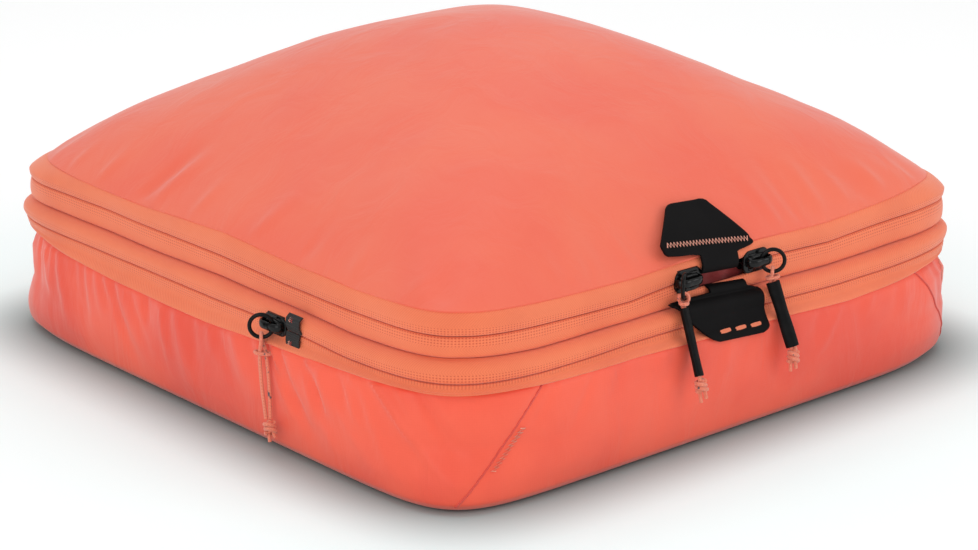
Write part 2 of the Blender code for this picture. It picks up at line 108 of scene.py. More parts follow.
class Value:
    """A number in a shader, which takes the usual operators."""

    def __init__(self, finish, socket):
        self.finish = finish
        self.socket = socket

    def math(self, operation, *others):
        inputs = [self.socket] + [getattr(other, "socket", other) for other in others]
        node = self.finish.node("ShaderNodeMath", {"operation": operation},
                                dict(enumerate(inputs)))
        return Value(self.finish, node.outputs[0])

    def __add__(self, other):
        return self.math("ADD", other)

    __radd__ = __add__

    def __mul__(self, other):
        return self.math("MULTIPLY", other)

    __rmul__ = __mul__

    def __sub__(self, other):
        return self.math("SUBTRACT", other)

    def __rsub__(self, other):
        return (self * -1.0) + other

    def wave(self, period):
        """From -1 to 1, once every period."""
        return (self * (math.tau / period)).math("SINE")

    def step(self, low, high):
        """Smoothly from 0 at low to 1 at high."""
        inputs = {"Value": self.socket, "From Min": low, "From Max": high}
        node = self.finish.node("ShaderNodeMapRange", {"interpolation_type": "SMOOTHSTEP"}, inputs)
        return Value(self.finish, node.outputs[0])


class Finish:
    """One material and the nodes in it."""

    def __init__(self, name, **plain):
        self.material = bpy.data.materials.new(name)
        self.material.use_nodes = True
        self.tree = self.material.node_tree
        self.shader = self.tree.nodes["Principled BSDF"]
        for socket, value in plain.items():
            self.shader.inputs[socket.replace("_", " ")].default_value = value
        self.material.diffuse_color = self.shader.inputs["Base Color"].default_value

    def node(self, kind, settings=None, inputs=None):
        """A node of a type, its settings first, then the values or links of its sockets."""
        node = self.tree.nodes.new(kind)
        for name, value in (settings or {}).items():
            setattr(node, name, value)
        for name, value in (inputs or {}).items():
            if isinstance(value, Value):
                value = value.socket
            if isinstance(value, bpy.types.NodeSocket):
                self.tree.links.new(value, node.inputs[name])
            else:
                node.inputs[name].default_value = value
        return node

    def place(self):
        """Where a point is on the piece, in metres."""
        return self.node("ShaderNodeTexCoord").outputs["Object"]

    def parts(self, vector):
        """The three numbers of a vector."""
        split = self.node("ShaderNodeSeparateXYZ", None, {0: vector})
        return [Value(self, output) for output in split.outputs]

    def along(self):
        """Metres along and across the cloth, from its UV map."""
        return self.parts(self.node("ShaderNodeUVMap", {"uv_map": "cloth"}).outputs["UV"])[:2]

    def noise(self, scale, detail=3.0, stretch=(1.0, 1.0, 1.0), distortion=0.0):
        """Noise from 0 to 1 at a scale per metre."""
        mapping = self.node("ShaderNodeMapping", {}, {"Vector": self.place(), "Scale": stretch})
        made = self.node("ShaderNodeTexNoise", {}, {
            "Vector": mapping.outputs[0], "Scale": scale, "Detail": detail,
            "Distortion": distortion})
        return Value(self, made.outputs[0])

    def mix(self, factor, first, second):
        """Between two colours."""
        node = self.node("ShaderNodeMix", {"data_type": "RGBA"},
                         {"Factor": factor, 6: first, 7: second})
        return node.outputs[2]

    def bump(self, height, strength, distance, normal=None):
        inputs = {"Height": height, "Strength": strength, "Distance": distance}
        if normal is not None:
            inputs["Normal"] = normal
        return self.node("ShaderNodeBump", {}, inputs).outputs[0]

    def connect(self, **links):
        for name, value in links.items():
            socket = self.shader.inputs[name.replace("_", " ")]
            self.tree.links.new(getattr(value, "socket", value), socket)


def shade(red, green, blue):
    return (red, green, blue, 1.0)


CORAL = shade(0.95, 0.126, 0.066)
# Painted light: the top's coral is the walls' coral made lighter and paler, for the light from
# above and the sheen on it.
CORAL_TOP_PAINTED_LIGHT = shade(0.855, 0.165, 0.090)
CORAL_DEEP = shade(0.80, 0.074, 0.042)
ORANGE = shade(0.92, 0.215, 0.088)
ORANGE_DEEP = shade(0.62, 0.080, 0.030)
BLACK = shade(0.0042, 0.0036, 0.0038)
SALMON = shade(0.97, 0.34, 0.21)
# Painted shade: the inside of the case, coral cloth lying in shade, is given this dark red.
DARK_RED_PAINTED_SHADE = shade(0.26, 0.014, 0.014)


def panel_finish(name, light, deep):
    """Fine ripstop nylon with a soft shine, its creases and its faint grid."""
    made = Finish(name, Base_Color=light, Roughness=0.50, Sheen_Weight=0.28,
                  Sheen_Roughness=0.45, Specular_IOR_Level=0.34)
    across, up = made.along()
    cloud = made.noise(14.0, 3.0)
    creases = made.noise(42.0, 4.0, (1.0, 1.0, 0.45), distortion=0.8)
    fine = made.noise(900.0, 2.0)
    grid = across.wave(0.0021).math("ABSOLUTE").math("POWER", 14.0)
    grid = grid + up.wave(0.0021).math("ABSOLUTE").math("POWER", 14.0)
    tone = cloud.step(0.35, 0.72) * 0.75 + grid * 0.07 + fine * 0.10
    made.connect(Base_Color=made.mix(tone, light, deep),
                 Roughness=0.40 + creases * 0.16 + grid * 0.03)
    normal = made.bump(creases, 0.35, 0.0035)
    normal = made.bump(grid * 0.5 + fine, 0.12, 0.00012, normal)
    made.connect(Normal=normal)
    return made.material


def tape_finish():
    """Woven zip tape: herringbone away from the slit, and knitted rows over the coil."""
    made = Finish("woven_tape", Base_Color=ORANGE, Roughness=0.62, Sheen_Weight=0.30,
                  Sheen_Roughness=0.5, Specular_IOR_Level=0.35)
    run, away = made.along()
    fold = away.math("PINGPONG", 0.0062)
    twill = (run + fold).wave(0.00128) * 0.5 + 0.5
    near = away.step(0.0009, 0.0013) * (1.0 - away.step(0.0046, 0.0054))
    rows = away.wave(0.00115) * 0.5 + 0.5
    loops = (run + rows * 0.00045).wave(0.00155) * 0.5 + 0.5
    knit = loops * rows * near
    lip = 1.0 - away.step(0.0004, 0.0010)
    cloud = made.noise(26.0, 3.0)
    fine = made.noise(1400.0, 2.0)
    dark = knit.step(0.18, 0.62) * 0.78 + twill * (1.0 - near) * 0.26 + lip * 0.34
    tone = dark + cloud.step(0.4, 0.75) * 0.16 + fine * 0.06
    made.connect(Base_Color=made.mix(tone, ORANGE, ORANGE_DEEP),
                 Roughness=0.52 + twill * 0.12 + fine * 0.08)
    height = twill * (1.0 - near) * 0.6 + (1.0 - knit) * near + fine * 0.2
    normal = made.bump(cloud, 0.30, 0.0016)
    made.connect(Normal=made.bump(height, 0.55, 0.00022, normal))
    return made.material


def coil_finish():
    made = Finish("nylon_coil", Base_Color=ORANGE_DEEP, Roughness=0.4)
    run, _ = made.along()
    turns = run.wave(0.0013) * 0.5 + 0.5
    made.connect(Base_Color=made.mix(turns, shade(0.25, 0.03, 0.012), ORANGE_DEEP),
                 Normal=made.bump(turns, 0.8, 0.0004))
    return made.material


def inner_painted_shade_finish():
    """Inner fabric with a plain weave, in a dark red that is painted shade: the inside of the case
    lies in shade.
    """
    made = Finish("inner_cloth_painted_shade", Base_Color=DARK_RED_PAINTED_SHADE, Roughness=0.7, Sheen_Weight=0.2)
    across, up = made.along()
    weave = across.wave(0.0011) * up.wave(0.0011)
    cloud = made.noise(30.0, 3.0)
    made.connect(Base_Color=made.mix(cloud.step(0.3, 0.8), DARK_RED_PAINTED_SHADE, shade(0.32, 0.030, 0.026)),
                 Roughness=0.62 + cloud * 0.2,
                 Normal=made.bump(weave * 0.3 + cloud, 0.4, 0.0006))
    return made.material


def coated_finish():
    """Matte coated fabric, nearly black, with a fine grain."""
    made = Finish("coated_black", Base_Color=BLACK, Roughness=0.6, Specular_IOR_Level=0.07)
    grain = made.noise(2600.0, 2.0)
    cloud = made.noise(70.0, 3.0)
    made.connect(Base_Color=made.mix(cloud.step(0.35, 0.8), BLACK, shade(0.0062, 0.0056, 0.0059)),
                 Roughness=0.50 + cloud * 0.16 + grain * 0.08,
                 Normal=made.bump(grain + cloud * 0.6, 0.35, 0.00018))
    return made.material


def hardware_finish(name, roughness, coat):
    """Black lacquer, with the slight unevenness of a die casting."""
    made = Finish(name, Base_Color=shade(0.004, 0.004, 0.004), Roughness=roughness,
                  Specular_IOR_Level=0.12, Coat_Weight=coat, Coat_Roughness=0.05)
    uneven = made.noise(420.0, 3.0)
    wear = made.noise(160.0, 4.0)
    made.connect(Base_Color=made.mix(wear.step(0.55, 0.8), shade(0.0035, 0.0035, 0.0037),
                                     shade(0.0075, 0.0070, 0.0072)),
                 Roughness=roughness - 0.06 + uneven * 0.16,
                 Normal=made.bump(uneven, 0.25, 0.00015))
    return made.material


def rubber_finish():
    made = Finish("matte_rubber", Base_Color=shade(0.005, 0.005, 0.005), Roughness=0.5,
                  Specular_IOR_Level=0.09)
    grain = made.noise(1500.0, 2.0)
    ribs = made.noise(240.0, 3.0)
    made.connect(Base_Color=made.mix(ribs.step(0.4, 0.8), shade(0.0045, 0.0045, 0.0047),
                                     shade(0.0085, 0.0080, 0.0083)),
                 Roughness=0.42 + grain * 0.12,
                 Normal=made.bump(grain + ribs * 0.7, 0.3, 0.0002))
    return made.material


def cord_finish():
    """Thin braided cord, salmon with sparse grey flecks."""
    made = Finish("braided_cord", Base_Color=SALMON, Roughness=0.7, Sheen_Weight=0.3)
    x, y, height = made.parts(made.place())
    side = x + y
    braid = (side + height).wave(0.0009) * (height - side).wave(0.0009) * 0.5 + 0.5
    flecks = made.noise(330.0, 1.0).step(0.66, 0.72)
    tint = made.mix(braid.step(0.1, 0.6), SALMON, shade(0.80, 0.19, 0.11))
    made.connect(Base_Color=made.mix(flecks, tint, shade(0.10, 0.075, 0.085)),
                 Roughness=0.62 + braid * 0.15,
                 Normal=made.bump(braid, 0.6, 0.0003))
    return made.material


def thread_finish(name, colour, deep):
    made = Finish(name, Base_Color=colour, Roughness=0.55, Sheen_Weight=0.3)
    strands = made.noise(2200.0, 2.0)
    made.connect(Base_Color=made.mix(strands.step(0.3, 0.8), colour, deep),
                 Roughness=0.48 + strands * 0.2,
                 Normal=made.bump(strands, 0.4, 0.0002))
    return made.material


def webbing_finish():
    """Black ribbed webbing."""
    made = Finish("black_webbing", Base_Color=BLACK, Roughness=0.75)
    _, up = made.along()
    ribs = up.wave(0.0010) * 0.5 + 0.5
    made.connect(Base_Color=made.mix(ribs, shade(0.006, 0.006, 0.006), shade(0.022, 0.019, 0.019)),
                 Roughness=0.66 + ribs * 0.12, Normal=made.bump(ribs, 0.6, 0.0003))
    return made.material


# Painted light: the top gets a lighter, paler copy of the wall cloth, where the light falls.
TOP_PANEL_PAINTED_LIGHT = panel_finish("ripstop_top_painted_light", CORAL_TOP_PAINTED_LIGHT, shade(0.84, 0.125, 0.072))
WALL_PANEL = panel_finish("ripstop_wall", CORAL, CORAL_DEEP)
TAPE = tape_finish()
COIL = coil_finish()
# Painted shade: the dark red finish of everything inside the case.
INNER_PAINTED_SHADE = inner_painted_shade_finish()
COATED = coated_finish()
LACQUER = hardware_finish("black_lacquer", 0.22, 0.24)
WIRE_BLACK = hardware_finish("black_wire", 0.34, 0.08)
RUBBER = rubber_finish()
BRAID = cord_finish()
PALE_THREAD = thread_finish("salmon_thread", shade(0.98, 0.42, 0.30), shade(0.80, 0.26, 0.17))
RED_THREAD = thread_finish("red_thread", shade(0.55, 0.045, 0.030), shade(0.26, 0.02, 0.015))
SEAM_THREAD = thread_finish("seam_fold", shade(0.62, 0.050, 0.032), CORAL_DEEP)
WEBBING = webbing_finish()


# Outline of the case

def smooth(value, low, high):
    """Smoothly from 0 at low to 1 at high."""
    share = np.clip((value - low) / (high - low), 0.0, 1.0)
    return share * share * (3.0 - 2.0 * share)


def corner_power(height):
    """Roundness of the plan at a height, smoothly from each level to the next."""
    steps = ((0.0, 0.030, BASE_POWER, SOFT_POWER), (0.0500, 0.0535, SOFT_POWER, BAND_POWER),
             (0.0693, 0.0700, BAND_POWER, CRISP_POWER))
    power = BASE_POWER
    for low, high, before, after in steps:
        power = power + (after - before) * smooth(height, low, high)
    return power


def plan(angle, half, power):
    """X and Y of the outline in given directions, for arrays of any shape."""
    across, along = np.cos(angle), np.sin(angle)
    reach = (np.abs(across) ** power + np.abs(along) ** power) ** (-1.0 / power)
    return half * reach * across, (half + DEPTH_EXTRA) * reach * along


def walked(across, up):
    """Distance walked along a section at each of its points."""
    return np.concatenate([[0.0], np.cumsum(np.hypot(np.diff(across), np.diff(up)))])


def run_table():
    """Angles and the distance along the outline, from the middle of the back and round."""
    angles = np.linspace(math.pi / 2, math.pi / 2 + math.tau, 20001)
    x, y = plan(angles, MAIN_HALF, CRISP_POWER)
    return angles, walked(x, y)


ANGLES, RUNS = run_table()
GIRTH = RUNS[-1]


def run_at(x, y):
    """How far round the outline the direction of a point is."""
    angle = math.atan2(y, x)
    if angle < math.pi / 2:
        angle += math.tau
    return float(np.interp(angle, ANGLES, RUNS))


def outline(run, half, height, out=0.0):
    """Points (x, y, z) round the case, moved out square to the wall."""
    angle = np.interp(run, RUNS, ANGLES)
    power = corner_power(height)
    x, y = plan(angle, half, power)
    x_next, y_next = plan(angle + 1e-4, half, power)
    along_x, along_y = x_next - x, y_next - y
    length = np.hypot(along_x, along_y)
    x = x + along_y / length * out
    y = y - along_x / length * out
    return np.stack([x, y, np.broadcast_to(height, x.shape)], axis=-1)


def parting(x, y):
    """How far the zip's edges stand apart at a place: 1 between the two front sliders."""
    share = smooth(PART_END - np.abs(x - PART_CENTRE), 0.0, PART_END - PART_FLAT)
    return np.where(y < 0, share, 0.0)


def ripple(x, y, z, scale, seed):
    """Smooth noise at arrays of places."""
    flat = np.stack(np.broadcast_arrays(x, y, z), axis=-1).reshape(-1, 3) * scale
    values = [noise.noise(Vector(point) + Vector((seed, seed, seed))) for point in flat]
    return np.array(values).reshape(np.broadcast(x, y, z).shape)


# Building tools

def deselect():
    if bpy.context.object and bpy.context.object.mode != "OBJECT":
        bpy.ops.object.mode_set(mode="OBJECT")
    bpy.ops.object.select_all(action="DESELECT")


def select(piece):
    deselect()
    piece.select_set(True)
    bpy.context.view_layer.objects.active = piece


def apply_modifiers(piece):
    select(piece)
    for modifier in list(piece.modifiers):
        bpy.ops.object.modifier_apply(modifier=modifier.name)


@contextmanager
def editing(piece):
    """All of a piece selected, in edit mode."""
    select(piece)
    bpy.ops.object.mode_set(mode="EDIT")
    bpy.ops.mesh.select_all(action="SELECT")
    yield
    bpy.ops.object.mode_set(mode="OBJECT")


def bevel_edges(piece, name, width, segments, degrees):
    """Round the edges that are sharper than an angle."""
    bevel = piece.modifiers.new(name, "BEVEL")
    bevel.width = width
    bevel.segments = segments
    bevel.limit_method = "ANGLE"
    bevel.angle_limit = math.radians(degrees)
    apply_modifiers(piece)


def settle(piece):
    """Put a piece's place into its mesh, so that its object sits at the origin."""
    select(piece)
    bpy.ops.object.transform_apply(location=True, rotation=True, scale=True)


def join(name, pieces):
    deselect()
    for piece in pieces:
        piece.select_set(True)
    bpy.context.view_layer.objects.active = pieces[0]
    if len(pieces) > 1:
        bpy.ops.object.join()
    pieces[0].name = name
    pieces[0].data.name = name
    return pieces[0]


def grid(name, columns, rows):
    """A flat grid, and the share of the way across and up of each of its points."""
    deselect()
    bpy.ops.mesh.primitive_grid_add(x_subdivisions=columns, y_subdivisions=rows, size=1.0)
    piece = bpy.context.object
    piece.name = name
    piece.data.name = name
    flat = np.empty(len(piece.data.vertices) * 3)
    piece.data.vertices.foreach_get("co", flat)
    flat = flat.reshape(-1, 3)
    return piece, flat[:, 0] + 0.5, flat[:, 1] + 0.5


def shape_grid(piece, places, cloth):
    """Move a grid's points to their places and lay its UV map out in metres."""
    mesh = piece.data
    mesh.vertices.foreach_set("co", np.asarray(places, float).ravel())
    while mesh.uv_layers:
        mesh.uv_layers.remove(mesh.uv_layers[0])
    layer = mesh.uv_layers.new(name="cloth")
    corners = np.empty(len(mesh.loops), int)
    mesh.loops.foreach_get("vertex_index", corners)
    layer.data.foreach_set("uv", np.asarray(cloth, float)[corners].ravel())
    mesh.update()


def thicken(piece, thickness, offset):
    solid = piece.modifiers.new("thickness", "SOLIDIFY")
    solid.thickness = thickness
    solid.offset = offset


def finish_cloth(piece, thickness, offset=-1.0, closed=True):
    """Close the seam, give the cloth its thickness and smooth it."""
    if closed:
        with editing(piece):
            bpy.ops.mesh.remove_doubles(threshold=2e-5)
    thicken(piece, thickness, offset)
    apply_modifiers(piece)
    bpy.ops.object.shade_smooth_by_angle(angle=math.radians(50))


def paint(piece, finish):
    piece.data.materials.clear()
    piece.data.materials.append(finish)


def fit(piece, finish, body, node=None):
    """Give a piece its finish, its body and the CAD piece that it stands for."""
    paint(piece, finish)
    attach(piece, body)
    if node:
        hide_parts(node)
    return piece


def tube(name, points, radius, finish, sides):
    """A cord or thread: a curve along points, with rounded ends where it is cut."""
    curve = bpy.data.curves.new(name, "CURVE")
    curve.dimensions = "3D"
    curve.bevel_depth = radius
    curve.bevel_resolution = sides
    curve.use_fill_caps = True
    spline = curve.splines.new("POLY")
    spline.points.add(len(points) - 1)
    for point, place in zip(spline.points, points):
        point.co = (*place, 1.0)
    curve.materials.append(finish)
    piece = bpy.data.objects.new(name, curve)
    bpy.context.scene.collection.objects.link(piece)
    return piece


def as_mesh(piece):
    select(piece)
    bpy.ops.object.convert(target="MESH")
    return bpy.context.object


def smooth_tube(name, points, radius, finish, sides):
    piece = as_mesh(tube(name, points, radius, finish, sides))
    select(piece)
    bpy.ops.object.shade_smooth()
    return piece


def smooth_path(points, spacing):
    """Places along a smooth curve through the points, about one spacing apart."""
    gaps = [(after - before).length for before, after in zip(points, points[1:])]
    slopes = [(after - before) / gap for before, after, gap in zip(points, points[1:], gaps)]
    tangents = [slopes[0]]
    for i in range(1, len(slopes)):
        total = gaps[i - 1] + gaps[i]
        tangents.append((slopes[i - 1] * gaps[i] + slopes[i] * gaps[i - 1]) / total)
    tangents.append(slopes[-1])
    places = [points[0]]
    for i, gap in enumerate(gaps):
        steps = max(1, round(gap / spacing))
        for count in range(1, steps + 1):
            t = count / steps
            keep = t * t * (2 * t - 3) + 1
            place = points[i] * keep + points[i + 1] * (1 - keep)
            place += tangents[i] * gap * t * (1 - t) ** 2
            place -= tangents[i + 1] * gap * t * t * (1 - t)
            places.append(place)
    return places


def path_length(points):
    return sum((after - before).length for before, after in zip(points, points[1:]))


# How the soft bands waver round the case, in millimetres at places round the outline

LEVELS = (0.0512, EXPANSION_SLIT, 0.0697, MAIN_SLIT, RIM)
WAVERS = (
    # (x, y), then the shift of the lower edge, lower slit, fold, upper slit and top edge
    ((0.00, 0.18), (0.5, 0.0, -1.5, 0.0, 0.0)),
    ((-0.12, 0.18), (1.5, -0.4, -1.5, 0.3, -0.4)),
    ((-0.18, 0.14), (2.6, -1.5, -1.1, 0.4, -0.9)),
    ((-0.18, 0.060), (0.0, -0.8, -1.7, 0.2, -1.7)),
    ((-0.18, -0.010), (-1.2, -1.0, -0.8, 0.3, 1.1)),
    ((-0.18, -0.061), (1.8, 0.0, -1.3, -1.3, -1.1)),
    ((-0.18, -0.110), (3.2, -2.8, -2.8, -1.6, -1.8)),
    ((-0.17, -0.175), (3.2, -2.6, -0.8, -0.5, -0.4)),
    ((-0.126, -0.18), (3.0, -3.0, -3.0, -2.0, -2.4)),
    ((-0.068, -0.18), (3.6, -1.9, -2.7, -3.2, -3.8)),
    ((-0.034, -0.18), (2.4, -1.9, -2.6, -0.4, -2.4)),
    ((0.020, -0.18), (1.2, -2.9, -3.4, -0.3, -2.0)),
    ((0.070, -0.18), (-1.0, -4.0, -4.6, -2.3, -3.2)),
    ((0.105, -0.18), (0.1, -3.6, -3.8, -0.6, -1.3)),
    ((0.150, -0.18), (0.7, -3.0, -2.5, 0.8, 0.8)),
    ((0.175, -0.10), (0.6, -0.8, -2.0, -0.4, -0.6)),
    ((0.175, 0.02), (1.4, 0.0, -1.0, 0.7, 0.5)),
    ((0.175, 0.12), (0.2, -0.8, -1.6, -0.5, -0.7)),
    ((0.08, 0.18), (1.0, 0.2, -1.2, 0.4, 0.3)))
WAVER_RUNS = [run_at(x, y) % GIRTH for (x, y), _ in WAVERS]


def sag(run, height):
    """How far the cloth is above or below its level height."""
    total = np.zeros_like(run * 1.0)
    for i in range(len(LEVELS)):
        shift = np.interp(np.mod(run, GIRTH), WAVER_RUNS, [row[i] for _, row in WAVERS],
                          period=GIRTH)
        weight = np.interp(height, LEVELS, [1.0 if j == i else 0.0 for j in range(len(LEVELS))])
        total += shift * weight * 0.001
    return total


CORNER_HEIGHTS = (0.0, 0.012, 0.025, 0.042, 0.0495, 0.0512, 0.0560, 0.0640, 0.0705, 0.0840, RIM)
LEFT_OUT = (-4.0, -1.5, 1.0, 1.0, -1.0, -4.5, 1.5, 4.0, 4.0, 4.0, -3.0)
RIGHT_OUT = (-9.0, -6.5, 0.0, 1.5, -1.5, -7.5, -2.0, -0.8, 1.0, 1.2, -4.5)


def corner_out(run, height):
    """How far the two side corners stand out of the plain outline, or back from it."""
    total = np.zeros_like(run * 1.0)
    for turn, shifts in ((BACK_LEFT, LEFT_OUT), (FRONT_RIGHT, RIGHT_OUT)):
        near = np.exp(-((run - turn) / 0.036) ** 2)
        total += near * np.interp(height, CORNER_HEIGHTS, shifts) * 0.001
    return total


FRONT_LEFT = run_at(-0.1765, -0.1765)
FRONT_RIGHT = run_at(0.1765, -0.1765)
BACK_LEFT = run_at(-0.1765, 0.1765)
BACK_RIGHT = run_at(0.1765, 0.1765)


# Pulls: rings, cords, sleeves and knots

def ring_place(wire_x, wire_y, height, swing):
    """A ring's way out from the wire in its crown, its centre and its lowest point."""
    way = Vector((math.cos(swing), math.sin(swing), 0.0))
    centre = Vector((wire_x, wire_y, height)) + way * RING
    return way, centre, centre - Vector((0, 0, RING))


def wire_ring(name, body, centre, way):
    deselect()
    bpy.ops.mesh.primitive_torus_add(location=centre, major_radius=RING, minor_radius=WIRE,
                                     major_segments=72, minor_segments=16)
    piece = bpy.context.object
    piece.rotation_euler = (math.pi / 2, 0.0, math.atan2(way.y, way.x))
    settle(piece)
    piece.name = name
    bpy.ops.object.shade_smooth()
    fit(piece, WIRE_BLACK, body, name)


def knot_piece(name, top, foot, body):
    """An overhand knot: wraps round the strands and two short cut ends."""
    axis = (foot - top).normalized()
    side = axis.cross(Vector((0.66, 0.75, 0.0))).normalized()
    front = side.cross(axis)
    wraps = []
    turns, start, pitch = 2.6, 0.0012, 0.0021
    for step in range(int(turns * 20) + 1):
        angle = step * math.tau / 20
        reach = 0.00215 + 0.00015 * math.sin(angle * 1.7)
        centre = top + axis * (start + pitch * angle / math.tau)
        tilt = axis * (0.0009 * math.sin(angle + 0.5))
        wraps.append(centre + (side * math.cos(angle) + front * math.sin(angle)) * reach + tilt)
    parts = [tube("wraps", wraps, CORD * 1.15, BRAID, 4)]
    neck = [top + axis * 0.0002 + side * 0.0006, top + axis * 0.0030, top + axis * 0.0058]
    parts.append(tube("neck", smooth_path(neck, 0.0006), CORD * 1.6, BRAID, 4))
    length = (foot - top).length
    for turn in (1, -1):
        end = [top + axis * 0.0045 + side * 0.0007 * turn,
               top + axis * 0.0066 + side * 0.0011 * turn + front * 0.0004,
               top + axis * (length - 0.0007 * (turn + 1)) + side * 0.0013 * turn]
        parts.append(tube("end", smooth_path(end, 0.0006), CORD * 0.95, BRAID, 4))
    piece = join(name, [as_mesh(part) for part in parts])
    bpy.ops.object.shade_smooth()
    return fit(piece, BRAID, body, name)


def wrap_bar(name, middle, way, facing, width, body):
    """The cord's turn across its own strands, just under the ring."""
    points = []
    for step in range(33):
        angle = step * math.tau / 32
        across = math.copysign(abs(math.cos(angle)) ** 0.7, math.cos(angle)) * width
        depth = math.copysign(abs(math.sin(angle)) ** 0.8, math.sin(angle)) * 0.00165
        points.append(middle + way * across + facing * depth
                      + Vector((0, 0, 0.0005 * math.cos(angle))))
    piece = smooth_tube(name, points, CORD * 0.95, BRAID, 4)
    return fit(piece, BRAID, body)


def sleeve_piece(name, top, foot, way, body):
    """Flat rubber tube, open at both ends, slightly waisted."""
    axis = (foot - top).normalized()
    wide = (way - axis * way.dot(axis)).normalized()
    thin = axis.cross(wide)
    piece, across, up = grid(name, 28, 26)
    angle = across * math.tau
    length = (foot - top).length
    wobble = 1.0 + 0.03 * np.sin(up * 9.0 + 1.0)
    bulge = 1.0 - 0.05 * (1.0 - np.abs(up - 0.5) * 2.0)
    half_wide = 0.0032 * wobble * bulge
    half_thin = 0.0021 * (2.0 - wobble) * bulge
    places = np.array([np.array(top + axis * (length * share)) for share in up])
    places += np.outer(half_wide * np.cos(angle), np.array(wide))
    places += np.outer(half_thin * np.sin(angle), np.array(thin))
    shape_grid(piece, places, np.stack([angle * 0.0026, up * length], axis=-1))
    finish_cloth(piece, 0.0007)
    with editing(piece):
        bpy.ops.mesh.normals_make_consistent(inside=False)
    bevel_edges(piece, "rounded_ends", 0.0002, 2, 60)
    return fit(piece, RUBBER, body, name)


def lay_cord(side, low, routes, others):
    """The two strands of a pull's doubled cord; the first also goes over the ring's wire."""
    routes[0].insert(0, low + Vector((0, 0, AROUND)))
    for i, route in enumerate(routes):
        places = smooth_path(route, 0.0008)
        strand = tube("cord_%s_%s" % (side, "ab"[i]), places, CORD, BRAID, 4)
        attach(strand, side + "_pull")
        path_length(places)
        others if i == 0 else []
        if i == 0:
            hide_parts("cord_" + side)


def front_pull(side, low, way, facing, foot, knot_foot):
    """Doubled cord through a rubber sleeve, hung from a front slider's ring."""
    body = side + "_pull"
    top = low - Vector((0, 0, 0.0043)) + (foot - low) * 0.02
    axis = (foot - top).normalized()
    routes = []
    for turn in (1, -1):
        routes.append([low + facing * (AROUND * 0.72 * turn) - way * (0.0003 * turn)
                       + Vector((0, 0, AROUND * 0.72)),
                       low + (facing * AROUND - way * 0.0004) * turn - Vector((0, 0, 0.0002)),
                       top + (facing * 0.0004 - way * 0.0008) * turn - axis * 0.0014,
                       top - way * 0.0010 * turn + axis * 0.0025,
                       foot - way * 0.0010 * turn + axis * 0.0020])
    sleeve = sleeve_piece("sleeve_" + side, top, foot, way, body)
    knot = knot_piece("knot_" + side, foot + axis * 0.0010, knot_foot, body)
    bar = wrap_bar("wrap_" + side, low - Vector((0, 0, 0.0023)) + (foot - low) * 0.01, way,
                   facing, 0.0027, body)
    lay_cord(side, low, routes, [sleeve, knot, bar])


def side_pull(low, way, facing, foot, knot_foot):
    """The bare doubled cord on the expansion slider's ring."""
    body = "expansion_pull"
    axis = (foot - low).normalized()
    knot = knot_piece("knot_expansion", foot + axis * 0.0004, knot_foot, body)
    bar = wrap_bar("wrap_expansion", low + axis * 0.0072, way, facing, 0.0036, body)
    routes = []
    for turn in (1, -1):
        routes.append([low + facing * AROUND * 0.72 * turn + Vector((0, 0, AROUND * 0.72)),
                       low + facing * AROUND * turn - Vector((0, 0, 0.0004)),
                       low + axis * 0.0065 + (facing * 0.0006 + way * 0.0012) * turn,
                       low + axis * 0.0200 + way * 0.0017 * turn,
                       foot + way * 0.0010 * turn])
    lay_cord("expansion", low, routes, [knot, bar])


def pulls():
    wire_out = 0.00355
    left = ring_place(-0.0336, MAIN_FRONT - wire_out, MAIN_SLIT, math.radians(219.0))
    right = ring_place(0.0163, MAIN_FRONT - wire_out, MAIN_SLIT, math.radians(-40.9))
    lower = ring_place(-EXPANSION_HALF - wire_out, -0.0621, EXPANSION_SLIT, math.radians(139.0))
    for name, (way, centre, _) in (("left", left), ("right", right), ("expansion", lower)):
        wire_ring("ring_" + name, name + "_ring", centre, way)
    way, _, low = left
    front_pull("left", low, way, Vector((-way.y, way.x, 0)),
               Vector((-0.0405, -0.1972, 0.0405)), Vector((-0.0385, -0.1987, 0.0280)))
    way, _, low = right
    front_pull("right", low, way, Vector((way.y, -way.x, 0)),
               Vector((0.0228, -0.1958, 0.0395)), Vector((0.0225, -0.1970, 0.0275)))
    way, _, low = lower
    side_pull(low, way, Vector((-way.y, way.x, 0)),
              Vector((-0.1878, -0.0670, 0.0190)), Vector((-0.1882, -0.0705, 0.0090)))


pulls()


# Cloth of the three levels

def folds(count, seed, side, lean, strength, reach):
    """Soft folds on a stretch of wall: (run, height) ends, half width and how far they stand."""
    pick = random.Random(seed)
    low_run, high_run = side
    made = []
    for i in range(count):
        run = low_run + (high_run - low_run) * (i + pick.uniform(0.15, 0.85)) / count
        top = pick.uniform(0.046, 0.053)
        length = pick.uniform(*reach)
        slant = lean(run) + pick.uniform(-0.25, 0.25)
        made.append((run, top, run + slant * length, top - length, pick.uniform(0.0016, 0.0038),
                     pick.uniform(0.4, 1.0) * strength * pick.choice((1, -1, -1))))
    return made


def fold_push(run, height, made):
    """How far the folds move each point of the wall out."""
    out = np.zeros_like(run)
    for start_run, start, end_run, end, width, stand in made:
        step_run, step = end_run - start_run, end - start
        share = ((run - start_run) * step_run + (height - start) * step) / (
            step_run ** 2 + step ** 2)
        held = np.clip(share, 0.0, 1.0)
        away = np.hypot(run - start_run - held * step_run, height - start - held * step)
        fade = 1.0 - smooth(held, 0.35, 1.0)
        out += stand * fade * np.exp(-(away / (width * (1.0 + held))) ** 2)
    return out


